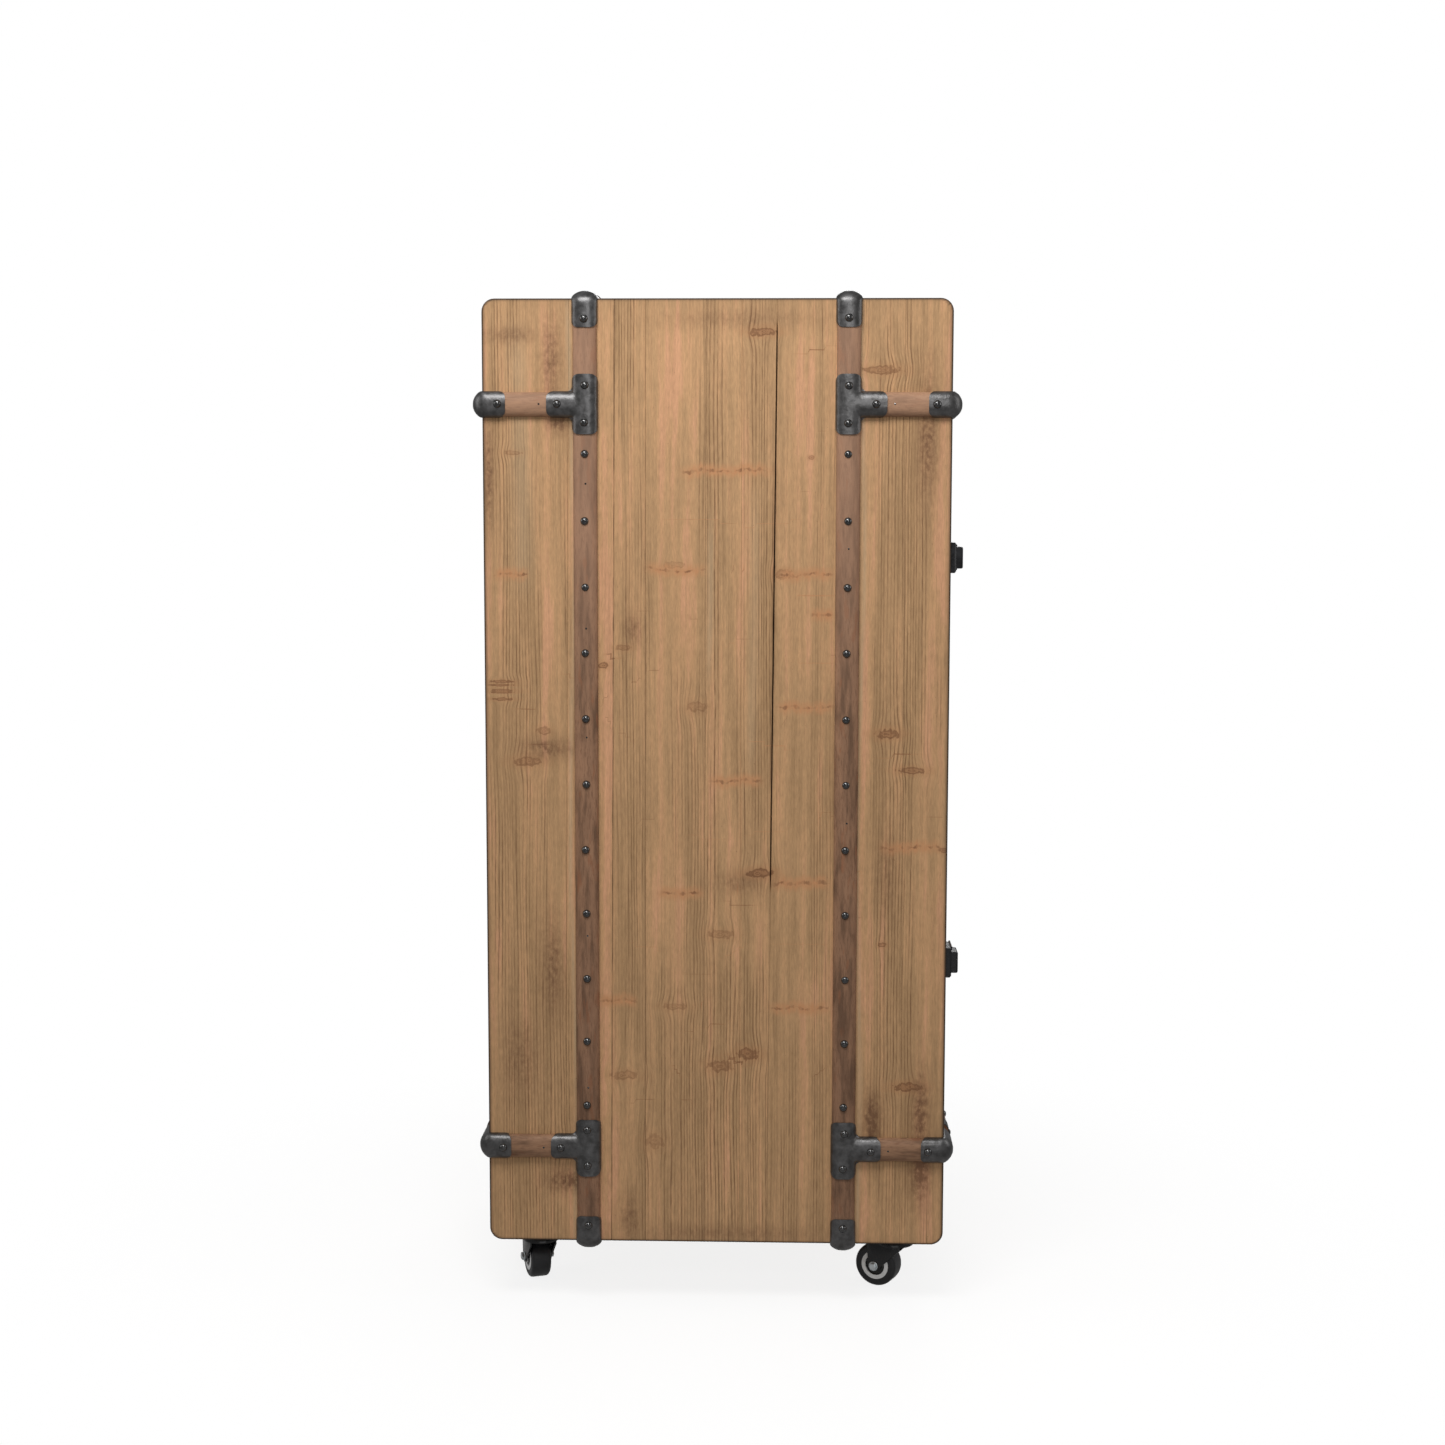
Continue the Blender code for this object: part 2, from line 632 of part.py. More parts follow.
def make_lever(name, middle, lever):
    """A channel-shaped lever with its pivot pin, open towards the box."""
    half = LEVER_HEIGHT / 2
    inner = half - LATCH_SHEET
    front = -LEVER_PIVOT_BACK - LEVER_LENGTH
    flange_end = -LEVER_PIVOT_BACK + 2 * PIN_RADIUS
    outer_face = LEVER_OUTER - LATCH_SHEET
    up = Vector((0, 0, middle))
    body = rounded_bar(
        latch_point(LEVER_PIVOT_OUT - 2 * PIN_RADIUS, front, -half) + up,
        latch_point(LEVER_OUTER, flange_end, half) + up,
        (1, 0, 0),
        LATCH_SHEET,
        ((0, -1, 0),),
        2,
    )
    body = add_piece(name, body, "latch_steel", lever)
    hollow = block(
        latch_point(0, front + LATCH_SHEET, -inner) + up,
        latch_point(outer_face, flange_end + LATCH_SHEET, inner) + up,
    )
    cut_shape(body, hollow)
    heel = block(
        latch_point(LEVER_PIVOT_OUT + 2 * PIN_RADIUS, -LEVER_PIVOT_BACK + PIN_RADIUS / 2, -LATCH_HEIGHT) + up,
        latch_point(2 * LEVER_OUTER, SEAM, LATCH_HEIGHT) + up,
    )
    cut_shape(body, heel)
    pin = cylinder(
        latch_point(LEVER_PIVOT_OUT, -LEVER_PIVOT_BACK, middle - half + LATCH_SHEET / 2),
        latch_point(LEVER_PIVOT_OUT, -LEVER_PIVOT_BACK, middle + half - LATCH_SHEET / 2),
        PIN_RADIUS,
        12,
    )
    join_shape(body, pin)
    crank = cylinder(
        latch_point(LEVER_PIVOT_OUT, -LEVER_PIVOT_BACK - BAIL_CRANK, middle - LATCH_HEIGHT),
        latch_point(LEVER_PIVOT_OUT, -LEVER_PIVOT_BACK - BAIL_CRANK, middle + LATCH_HEIGHT),
        BAIL_WIRE + RUNNING_GAP,
        12,
    )
    cut_shape(body, crank)


def bail_points(middle):
    """The bail's centre line: a pin in each of the lever's flanges, two legs and a crossbar, bent round."""
    leg = LEVER_HEIGHT / 2 + 2 * GAP + BAIL_WIRE
    pin_end = LEVER_HEIGHT / 2 - LATCH_SHEET + GAP
    bend = 4 * BAIL_WIRE
    crank = -LEVER_PIVOT_BACK - BAIL_CRANK
    half = [(crank, pin_end), (crank, leg)]
    for step in range(5):
        angle = step * pi / 8
        half.append((BAIL_REACH - bend + bend * sin(angle), leg - bend + bend * cos(angle)))
    both = half + [(back, -up) for back, up in reversed(half)]
    return [latch_point(LEVER_PIVOT_OUT, back, middle + up) for back, up in both]


def make_keeper(name, middle):
    half = LATCH_HEIGHT / 2
    up = Vector((0, 0, middle))
    plate = rounded_bar(
        latch_point(GAP, LATCH_FROM_SEAM, -half) + up,
        latch_point(GAP + LATCH_SHEET, LATCH_FROM_SEAM + KEEPER_LENGTH, half) + up,
        (1, 0, 0),
        LATCH_SHEET / 3,
        ((0, 1, 0), (0, -1, 0)),
        1,
    )
    keeper = add_piece(name, plate, "latch_steel")
    tongue_back = BAIL_REACH - BAIL_WIRE - GAP
    tongue = block(
        latch_point(GAP + LATCH_SHEET / 2, tongue_back - LATCH_SHEET, -half / 2) + up,
        latch_point(TONGUE_HEIGHT, tongue_back, half / 2) + up,
    )
    join_shape(keeper, tongue)


def make_latches(door):
    for n, height in enumerate(LATCH_HEIGHTS):
        level = ("lower", "upper")[n]
        middle = BOX_LIFT + height
        make_latch_tray(f"latch_tray_{level}", middle, door)
        make_keeper(f"latch_keeper_{level}", middle)
        pivot = latch_point(LEVER_PIVOT_OUT, -LEVER_PIVOT_BACK, middle)
        lever = add_body(f"lever_axis_{level}", pivot, door)
        make_lever(f"latch_lever_{level}", middle, lever)
        bail = add_body(f"bail_axis_{level}", pivot - Vector((0, BAIL_CRANK, 0)), lever)
        add_piece(
            f"latch_bail_{level}", wire(bail_points(middle), BAIL_WIRE, "bail_wire"), "latch_steel", bail
        )


# ---------------------------------------------------------------- casters
def make_caster_plate(name, x, y):
    half = CASTER_PLATE / 2
    plate = block((x - half, y - half, PLATE_UNDER), (x + half, y + half, PLATE_TOP))
    upright = [e for e in plate.edges if abs(e.verts[0].co.z - e.verts[1].co.z) > PLATE_THICKNESS / 2]
    plate = add_piece(name, round_edges(plate, upright, PLATE_CORNER), "caster_steel")
    race = cylinder((x, y, CROWN_TOP + GAP), (x, y, PLATE_UNDER + GAP), RACE_RADIUS)
    join_shape(plate, race)


def make_fork(name, swivel):
    """Crown, two legs, and the axle with its bolt heads; the wheel trails along the fork's own +X."""
    fork = add_piece(
        name,
        cylinder((0, 0, CROWN_UNDER), (0, 0, CROWN_TOP), CROWN_RADIUS, ROUND_STEPS, RACE_RADIUS),
        "caster_steel",
        swivel,
    )
    inner = WHEEL_WIDTH / 2 + FORK_GAP
    boss = 2 * AXLE_RADIUS
    for sign in (-1, 1):
        near, far = sign * inner, sign * (inner + FORK_LEG)
        top = block(
            (-CROWN_RADIUS / 2, near, CROWN_UNDER - GAP),
            (CROWN_RADIUS * 3 / 4, far, CROWN_UNDER + CROWN_THICKNESS / 2),
        )
        eye = cylinder((CASTER_TRAIL, near, WHEEL_RADIUS), (CASTER_TRAIL, far, WHEEL_RADIUS), boss, 12)
        join_shape(fork, hull_of(top, eye))
        bolt_end = sign * (inner + FORK_LEG + AXLE_RADIUS)
        bolt = cylinder(
            (CASTER_TRAIL, far - sign * GAP, WHEEL_RADIUS),
            (CASTER_TRAIL, bolt_end, WHEEL_RADIUS),
            BOLT_RADIUS,
            6,
        )
        join_shape(fork, bolt)
    axle = cylinder(
        (CASTER_TRAIL, -inner - FORK_LEG / 2, WHEEL_RADIUS),
        (CASTER_TRAIL, inner + FORK_LEG / 2, WHEEL_RADIUS),
        AXLE_RADIUS,
        12,
    )
    join_shape(fork, axle)


def make_wheel(name, axle):
    """A turned wheel on the X-Z plane of its axle, spinning about Y."""
    half = WHEEL_WIDTH / 2
    tyre = half - HUB_DISH / 2
    half_profile = [
        (AXLE_RADIUS + AXLE_GAP, half),
        (HUB_BOSS_RADIUS, half),
        (HUB_BOSS_RADIUS, half - HUB_DISH),
        (HUB_RADIUS, half - HUB_DISH),
        (WHEEL_RADIUS - TREAD_ROUND, tyre),
        (WHEEL_RADIUS, tyre - TREAD_ROUND),
    ]
    profile = half_profile + [(radius, -z) for radius, z in reversed(half_profile)]
    bm = bmesh.new()
    verts = [bm.verts.new((radius, 0, z)) for radius, z in profile]
    for a, b in zip(verts, verts[1:] + verts[:1]):
        bm.edges.new((a, b))
    mesh = bpy.data.meshes.new(name)
    bm.to_mesh(mesh)
    bm.free()
    wheel = bpy.data.objects.new(name, mesh)
    PARTS.objects.link(wheel)
    mesh.materials.append(FINISHES["caster_tyre"])
    wheel.parent = axle
    wheel.rotation_euler.x = pi / 2
    screw = wheel.modifiers.new("Turned", "SCREW")
    screw.steps = screw.render_steps = 24
    screw.use_merge_vertices = True
    screw.merge_threshold = 1e-5
    screw.use_smooth_shade = True


def make_casters():
    for corner, turn in CASTER_TURNS.items():
        x = -CASTER_X if corner.endswith("left") else CASTER_X
        y = FRONT_CASTER_Y if corner.startswith("front") else BOX_DEPTH - REAR_CASTER_INSET
        make_caster_plate(f"caster_plate_{corner}", x, y)
        swivel = add_pivot(f"swivel_axis_{corner}", (x, y, 0), ORIGIN, radians(turn))
        make_fork(f"caster_fork_{corner}", swivel)
        axle = add_pivot(f"axle_axis_{corner}", (CASTER_TRAIL, 0, WHEEL_RADIUS), swivel)
        make_wheel(f"caster_wheel_{corner}", axle)


def main():
    make_carcass()
    make_hanging_rod()
    make_carcass_battens()
    door = add_body("door_axis", (-HALF_WIDTH - HINGE_OFFSET, SEAM_Y, BOX_LIFT))
    make_door_box(door)
    make_door_battens(door)
    make_tees(door)
    make_caps(door)
    make_hinges(door)
    make_latches(door)
    make_casters()


main()
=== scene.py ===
# %% [markdown]
# # A trunk-style armoire on casters
# The real thing is a tall box of old fir boards. Its front is a shallow tray door, hung on the left
# and held on the right by two draw latches. Half-round battens run over the boards, and sheet iron
# tees and caps clasp them. Every moving part comes ready from the fixed model, at its real size.
# This lesson dresses that model: it gives the wood its boards, grain and knots, the iron its
# hammered skin, and adds the nails, screws and wheels that a maker would notice.

import json
from math import cos, pi, radians, sin

import bmesh
import bpy
import numpy as np
from mathutils import Euler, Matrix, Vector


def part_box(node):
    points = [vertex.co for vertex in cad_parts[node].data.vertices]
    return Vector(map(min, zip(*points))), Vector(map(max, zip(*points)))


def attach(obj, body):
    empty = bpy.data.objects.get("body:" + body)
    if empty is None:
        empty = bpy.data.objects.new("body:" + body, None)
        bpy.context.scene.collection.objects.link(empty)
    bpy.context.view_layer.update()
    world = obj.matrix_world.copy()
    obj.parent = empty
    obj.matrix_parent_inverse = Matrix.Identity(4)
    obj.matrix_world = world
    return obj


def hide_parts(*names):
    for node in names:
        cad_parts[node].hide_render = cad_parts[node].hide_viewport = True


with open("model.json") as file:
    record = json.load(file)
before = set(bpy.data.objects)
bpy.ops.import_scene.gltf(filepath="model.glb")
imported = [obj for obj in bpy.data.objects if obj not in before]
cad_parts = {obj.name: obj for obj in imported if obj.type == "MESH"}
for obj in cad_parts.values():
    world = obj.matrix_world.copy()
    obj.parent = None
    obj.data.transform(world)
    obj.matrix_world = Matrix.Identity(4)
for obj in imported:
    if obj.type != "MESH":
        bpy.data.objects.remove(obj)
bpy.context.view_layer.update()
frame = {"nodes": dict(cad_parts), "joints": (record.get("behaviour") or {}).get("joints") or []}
nodes = frame["nodes"]
door_low, door_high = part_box("door_panel")
print("the door is", round((door_high.x - door_low.x) * 1000), "mm wide")

# %% [markdown]
# ## Camera
# A tall box seen a little from above needs a camera with a normal lens, level with the upper third,
# so that the uprights stay almost parallel. The Standard view keeps the colours as they are set.

# %% Camera
camera_data = bpy.data.cameras.new("camera")
camera_data.lens = 53.93
camera_data.sensor_width = 36.0
camera = bpy.data.objects.new("camera", camera_data)
camera.location = (0.0946, -2.9611, 1.0339)
camera.rotation_euler = Euler((radians(90 - 5.820), radians(-0.088), radians(1.878)))
bpy.context.scene.collection.objects.link(camera)
bpy.context.scene.camera = camera
bpy.context.scene.view_settings.view_transform = "Standard"
print("camera at", [round(v, 3) for v in camera.location])

# %% [markdown]
# ## Words for finishes
# A finish that is worked out needs dozens of small nodes, and a chain written node by node is hard
# to read. So each value of the chain is wrapped in a class whose sums and products add Math nodes
# by themselves: wave * 0.5 + 0.5 then reads like the formula that it is.


# %% Nodes and values
class Value:
    """A number or colour that a finish has at each point; arithmetic on it adds Math nodes."""

    def __init__(self, socket):
        self.socket, self.tree = socket, socket.id_data

    def math(self, operation, *others):
        inputs = dict(enumerate((self, *others)))
        return Value(add_node(self.tree, "ShaderNodeMath", inputs, operation=operation).outputs[0])

    def __add__(self, other):
        return self.math("ADD", other)

    def __sub__(self, other):
        return self.math("SUBTRACT", other)

    def __mul__(self, other):
        return self.math("MULTIPLY", other)

    def __truediv__(self, other):
        return self.math("DIVIDE", other)

    def __pow__(self, other):
        return self.math("POWER", other)

    def __abs__(self):
        return self.math("ABSOLUTE")


def add_node(tree, kind, inputs=None, **settings):
    """A node with its settings; an input is linked to a Value, or set to a number or a colour."""
    node = tree.nodes.new(kind)
    for key, value in settings.items():
        setattr(node, key, value)
    for key, value in (inputs or {}).items():
        if isinstance(value, Value):
            tree.links.new(value.socket, node.inputs[key])
        elif isinstance(value, tuple):
            node.inputs[key].default_value = (*value, 1.0)
        else:
            node.inputs[key].default_value = value
    return node


def new_finish(name, **values):
    """A material whose even values sit on its shader's own sockets."""
    material = bpy.data.materials.new(name)
    material.use_nodes = True
    shader = material.node_tree.nodes["Principled BSDF"]
    for socket, value in values.items():
        shader.inputs[socket.replace("_", " ")].default_value = value
    return material, shader


print("values and nodes ready")


# %% Patterns and colours
def rise(value, start, end, low=0.0, high=1.0):
    """A smooth step from low at start to high at end; start may be the larger one."""
    inputs = {"Value": value, "From Min": start, "From Max": end, "To Min": low, "To Max": high}
    node = add_node(value.tree, "ShaderNodeMapRange", inputs, interpolation_type="SMOOTHSTEP")
    return Value(node.outputs[0])


def noise(vector, scale=1.0, detail=2.0, roughness=0.5):
    """Soft random patches between 0 and 1, one unit of the vector wide at scale 1."""
    inputs = {"Vector": vector, "Scale": scale, "Detail": detail, "Roughness": roughness}
    return Value(add_node(vector.tree, "ShaderNodeTexNoise", inputs).outputs["Fac"])


def vector_of(x, y, z):
    return Value(add_node(x.tree, "ShaderNodeCombineXYZ", {"X": x, "Y": y, "Z": z}).outputs[0])


def blend(share, first, second, mode="MIX"):
    """The first colour, with a share of the second mixed in or multiplied on."""
    inputs = {0: share, 6: first, 7: second}
    node = add_node(first.tree, "ShaderNodeMix", inputs, data_type="RGBA", blend_type=mode)
    return Value(node.outputs[2])


def ramp(value, stops):
    """A colour ramp from (place, colour) stops."""
    node = add_node(value.tree, "ShaderNodeValToRGB", {"Fac": value})
    elements = node.color_ramp.elements
    while len(elements) < len(stops):
        elements.new(0.5)
    for element, (place, colour) in zip(elements, stops):
        element.position = place
        element.color = (*colour, 1.0)
    return Value(node.outputs["Color"])


def object_place(shader):
    """The Object coordinates in metres, as one vector and as its X, Y and Z."""
    place = Value(add_node(shader.id_data, "ShaderNodeTexCoord").outputs["Object"])
    parts = add_node(place.tree, "ShaderNodeSeparateXYZ", {0: place}).outputs
    return place, {part.name: Value(part) for part in parts}


def finish_surface(shader, colour, roughness, height, depth, strength):
    """Links colour and roughness, and a bump as deep as depth metres."""
    tree = shader.id_data
    bump = add_node(tree, "ShaderNodeBump", {"Height": height, "Distance": depth, "Strength": strength})
    tree.links.new(colour.socket, shader.inputs["Base Color"])
    tree.links.new(roughness.socket, shader.inputs["Roughness"])
    tree.links.new(bump.outputs[0], shader.inputs["Normal"])


print("patterns and colours ready")

# %% [markdown]
# ## Floor and light
# The armoire stands in a white studio. A floor with a hard rim would draw a horizon, so this one is
# a disc that grows clear towards its rim. The light is one broad soft panel high in front: it makes
# the top of the door brighter than its foot and leaves soft lines on the iron. A small panel near
# the camera puts a spark on each nail, and weak ones at the sides and behind keep those faces readable.

# %% Floor
FLOOR_RADIUS, FLOOR_SIDES = 2.2, 96
turn = np.linspace(0, 2 * pi, FLOOR_SIDES, endpoint=False)
rim = FLOOR_RADIUS * np.stack([np.cos(turn), np.sin(turn), 0 * turn], axis=1)
floor_mesh = bpy.data.meshes.new("floor")
floor_mesh.from_pydata(rim.tolist(), [], [list(range(FLOOR_SIDES))])
floor = bpy.data.objects.new("floor", floor_mesh)
bpy.context.scene.collection.objects.link(floor)

glow = {"Emission_Color": (1, 1, 1, 1), "Emission_Strength": 0.22}
floor_finish, shader = new_finish("pale_floor", Base_Color=(0.92, 0.91, 0.90, 1), Roughness=0.9, **glow)
tree = shader.id_data
place, _ = object_place(shader)
away = Value(add_node(tree, "ShaderNodeVectorMath", {0: place}, operation="LENGTH").outputs["Value"])
clear = Value(add_node(tree, "ShaderNodeBsdfTransparent").outputs[0])
layers = {0: rise(away, 0.30, 1.10, 0.80, 1.0), 1: Value(shader.outputs[0]), 2: clear}
mixed = add_node(tree, "ShaderNodeMixShader", layers)
tree.links.new(mixed.outputs[0], tree.nodes["Material Output"].inputs["Surface"])
floor_mesh.materials.append(floor_finish)
print("floor", FLOOR_RADIUS * 2, "m across")


# %% Lights and white surround
def add_panel_light(name, place, aim, width, height, power):
    """A rectangular soft light at a place, turned towards another."""
    data = bpy.data.lights.new(name, "AREA")
    data.shape, data.size, data.size_y, data.energy = "RECTANGLE", width, height, power
    light = bpy.data.objects.new(name, data)
    x, y, z = np.subtract(aim, place)
    light.location = place
    light.rotation_euler = (np.arctan2(np.hypot(x, y), -z), 0, np.arctan2(-x, y))
    bpy.context.scene.collection.objects.link(light)


add_panel_light("key", (-0.25, -1.45, 2.35), (0.0, -0.25, 0.85), 1.1, 0.7, 29)
add_panel_light("front_spark", (0.30, -2.5, 1.55), (0.0, -0.25, 0.70), 0.34, 0.26, 6)
add_panel_light("low_fill", (0.10, -1.30, 0.14), (0.0, -0.25, 0.06), 0.9, 0.2, 0.5)
add_panel_light("left_fill", (-2.6, -0.6, 1.7), (0, 0, 0.7), 1.2, 1.6, 12)
add_panel_light("right_fill", (2.6, -0.4, 1.6), (0, 0, 0.7), 1.2, 1.6, 12)
add_panel_light("rear_fill", (0.4, 2.8, 2.2), (0, 0, 0.7), 1.6, 1.2, 30)

world = bpy.data.worlds.new("surround")
bpy.context.scene.world = world
world.use_nodes = True
tree = world.node_tree
background = tree.nodes["Background"]
background.inputs["Color"].default_value = (1, 1, 1, 1)
seen = Value(add_node(tree, "ShaderNodeLightPath").outputs["Is Camera Ray"])
tree.links.new(rise(seen, 0.0, 1.0, 0.24, 1.0).socket, background.inputs["Strength"])

# %% [markdown]
# ## Fir boards
# The boards are old fir: tan, with fine upright growth lines, paler and pinker bands between them,
# and knots that lie across the grain. A texture image would repeat, so the wood is worked out in
# nodes. The pattern needs three things at each point: how far across the board it is, how far along,
# and which board it belongs to. On the door's face a mesh attribute gives them, because the boards
# there differ in width; on the plain walls they come from Object coordinates.

# %% Fir pattern
OLIVE, TAN = (0.400, 0.238, 0.116), (0.470, 0.278, 0.138)
HONEY, SALMON = (0.535, 0.306, 0.152), (0.610, 0.322, 0.176)
GROWTH_LINE, SEAM_DARK = (0.165, 0.084, 0.040), (0.030, 0.016, 0.009)
SCRAPED_PALE = (0.500, 0.390, 0.250)
LINES_PER_MM = 1.55 / (2 * pi)


def fir_pattern(across, along, board, lined=0.45, orange=0.0, pale=0.0):
    """Colour and height of fir from millimetres across and along the grain and the board's number.

    A growth line is a sine of the distance across, raised to a power so that it is thin and the gap
    beside it wide. Noise stretched along the grain moves the lines, fades them and tints the wood.
    """
    number = board * 37.7

    def layer(width, length, detail=2.0):
        """Noise in patches of a width across and a length along, in millimetres."""
        return noise(vector_of(across / width, along / length, number), 1.0, detail)

    wander, crowding = layer(55.0, 420.0) * 12.0, layer(16.0, 900.0) * 12.0
    wave = ((across + wander) * (2 * pi * LINES_PER_MM) + crowding).math("SINE")
    ridge = (wave * 0.5 + 0.5) ** 2.6
    zone = rise(layer(15.0, 420.0) - 0.22 + lined * 0.42 + orange * -0.20, 0.22, 0.56)
    dash = rise(layer(1.2, 24.0), 0.36, 0.60, 0.40, 1.0) * rise(layer(4.0, 310.0), 0.34, 0.62, 0.30, 1.0)
    lines = ridge * zone * dash
    mottle, streak, fibre = layer(6.0, 17.0, 3.0), layer(2.4, 130.0), layer(1.1, 9.0)
    tone = layer(13.0, 240.0, 3.0) * 0.84 + mottle * 0.16 + orange * 0.11 - zone * 0.045
    wood = ramp(tone, [(0.34, OLIVE), (0.47, TAN), (0.57, HONEY), (0.68, SALMON)])
    light = streak * 0.46 + mottle * 0.14 + fibre * 0.56 + 0.44
    wood = blend(1.0, wood, light, "MULTIPLY")
    wood = blend(lines * 0.92, wood, GROWTH_LINE)
    wood = blend(pale * 0.5, wood, SCRAPED_PALE)
    speck = rise(layer(1.3, 4.0, 1.0), 0.74, 0.80) * 0.45
    wood = blend(speck, wood, GROWTH_LINE)
    chance = add_node(board.tree, "ShaderNodeTexWhiteNoise", {"W": board}, noise_dimensions="1D")
    wood = blend(rise(Value(chance.outputs[0]), 0.0, 1.0, 0.0, 0.10), wood, OLIVE)
    return wood, fibre * 0.4 - lines * 0.8


print(f"fir has a growth line every {1 / LINES_PER_MM:.1f} mm or so")

# %% [markdown]
# ## Walls of the box
# The sides, roof and back are plain boards of one width. A board's number is the whole part of the
# distance across divided by that width, and the fraction that is left tells how near the seam is.
# The door's frame is four boards in one solid: upright at its sides and level at its top and foot,
# so the direction of the grain changes near its ends. The inside is paler, smoother and matte.

# %% Finishes of the walls
WALL_BOARD, INNER_BOARD = 0.083, 0.11
SEAM_OUTER, SEAM_INNER = 0.0011, 0.0003
INNER_DARK, INNER_LIGHT = (0.36, 0.24, 0.14), (0.47, 0.33, 0.20)


def fir_walls(name, along_axis, across_axis, offset, upright_from=None):
    """Fir boards of one width; past upright_from metres either side of the middle they stand upright."""
    material, shader = new_finish(name, Specular_IOR_Level=0.22)
    _, axes = object_place(shader)
    across, along = axes[across_axis], axes[along_axis]
    if upright_from is not None:
        on_side = abs(axes["X"]).math("GREATER_THAN", upright_from)
        along = axes["Z"] * on_side + axes["X"] * (on_side * -1.0 + 1.0)
    steps = (across + offset) / WALL_BOARD
    board = steps.math("FLOOR") + offset * 100
    from_middle = abs(steps.math("FRACT") - 0.5)
    seam = rise(from_middle, 0.5 - SEAM_OUTER / WALL_BOARD, 0.5 - SEAM_INNER / WALL_BOARD)
    wood, height = fir_pattern(across * 1000.0, along * 1000.0, board)
    wood = blend(seam * 0.9, wood, SEAM_DARK)
    height = height - seam * 3.0
    finish_surface(shader, wood, rise(height, -0.7, 0.4, 0.72, 0.56), height, 0.00025, 0.6)
    return material


def plain_boards(name, along_axis, across_axis):
    """Matte boards of the inside: long soft streaks between two colours, and thin seams."""
    material, shader = new_finish(name, Specular_IOR_Level=0.25)
    _, axes = object_place(shader)
    across, along = axes[across_axis], axes[along_axis]
    steps = across / INNER_BOARD
    board = steps.math("FLOOR")
    seam = rise(abs(steps.math("FRACT") - 0.5), 0.488, 0.496)
    streak = noise(vector_of(across * (1000.0 / 9.0), along * (1000.0 / 260.0), board), 1.0, 3.0)
    fibre = noise(vector_of(across * (1000.0 / 0.8), along * (1000.0 / 30.0), board), 1.0, 2.0)
    wood = ramp(streak, [(0.35, INNER_DARK), (0.65, INNER_LIGHT)])
    wood = blend(rise(fibre, 0.4, 0.7, 0.0, 0.3), wood, OLIVE, "MULTIPLY")
    wood = blend(seam * 0.8, wood, SEAM_DARK)
    finish_surface(shader, wood, rise(fibre, 0.3, 0.7, 0.75, 0.62), fibre - seam * 3.0, 0.0002, 0.4)
    return material


FIR_SIDES = fir_walls("fir_sides", "Z", "Y", 0.317)
FIR_ROOF = fir_walls("fir_roof", "X", "Y", 0.561)
FIR_FRAME = fir_walls("fir_door_frame", "Z", "Y", 0.317, upright_from=0.277)
INNER_UPRIGHT = plain_boards("inner_upright", "Z", "X")
INNER_LEVEL = plain_boards("inner_level", "X", "Y")
print("wall boards are", round(WALL_BOARD * 1000), "mm wide")

# %% [markdown]
# ## Knots, healed branches and stains
# A knot is what a branch leaves: a dark outline, rings inside it, and a warm halo in the wood around
# it. A branch that healed over leaves a thin line across the board instead, broken and uneven in
# thickness. Old water and rust leave stains. All three are placed by attributes of the mesh, which
# hold the distance to the nearest one, and ragged noise keeps their outlines from looking drawn.

# %% Finish of the door's face
HALO_BROWN, KNOT_BROWN, KNOT_DARK = (0.440, 0.215, 0.098), (0.250, 0.108, 0.048), (0.150, 0.066, 0.030)
SCAR_WARM, SCAR_DARK = (0.540, 0.262, 0.122), (0.185, 0.084, 0.040)
STAIN_BROWN, EDGE_PAINTED_SHADE = (0.150, 0.070, 0.035), (0.035, 0.022, 0.015)


def add_knots(wood, ragged, knot_x, knot_z, strength):
    """Halo, core, rings and outline by the distance from the knot's middle, in knot radii."""
    far = (knot_x**2.0 + knot_z**2.0).math("SQRT") + ragged * 2.2
    core, halo = rise(far, 1.15, 0.65), rise(far, 2.9, 0.6)
    rings = (far * 11.0).math("SINE") * 0.5 + 0.5
    outline = rise(abs(far - 0.95), 0.30, 0.04)
    wood = blend(halo * (strength * 0.50), wood, HALO_BROWN)
    wood = blend(core * (strength * 0.42), wood, KNOT_BROWN)
    dark = (core * rings**3.0).math("MAXIMUM", outline) * (strength * 0.62)
    return blend(dark, wood, KNOT_DARK), outline


def add_scars(wood, ragged, board, scar_x, scar_z, scar_half):
    """A thin dark line in a warm band; noise bends the line, varies its thickness and breaks it."""
    bend = noise(vector_of(scar_x / 38.0, scar_half, 0.0), 1.0, 4.0, 0.6)
    uneven = noise(vector_of(scar_x / 5.0, scar_half, 3.0), 1.0, 2.0)
    off = abs(bend * 26.0 + scar_z - 13.0) + (uneven * -9.0 + 4.2)
    to_end = abs(scar_x) / scar_half
    broken = rise(noise(vector_of(scar_x / 11.0, board, 0.0)), 0.38, 0.66)
    thin = rise(off, 2.0, 0.0) * rise(to_end, 1.05, 0.85) * broken
    wide = rise(off, 12.0, 0.5) * rise(to_end, 1.15, 0.6) * (ragged * 2.0 + 0.75)
    wood = blend(wide.math("MAXIMUM", 0.0), wood, SCAR_WARM)
    return blend(thin * 0.72, wood, SCAR_DARK), thin


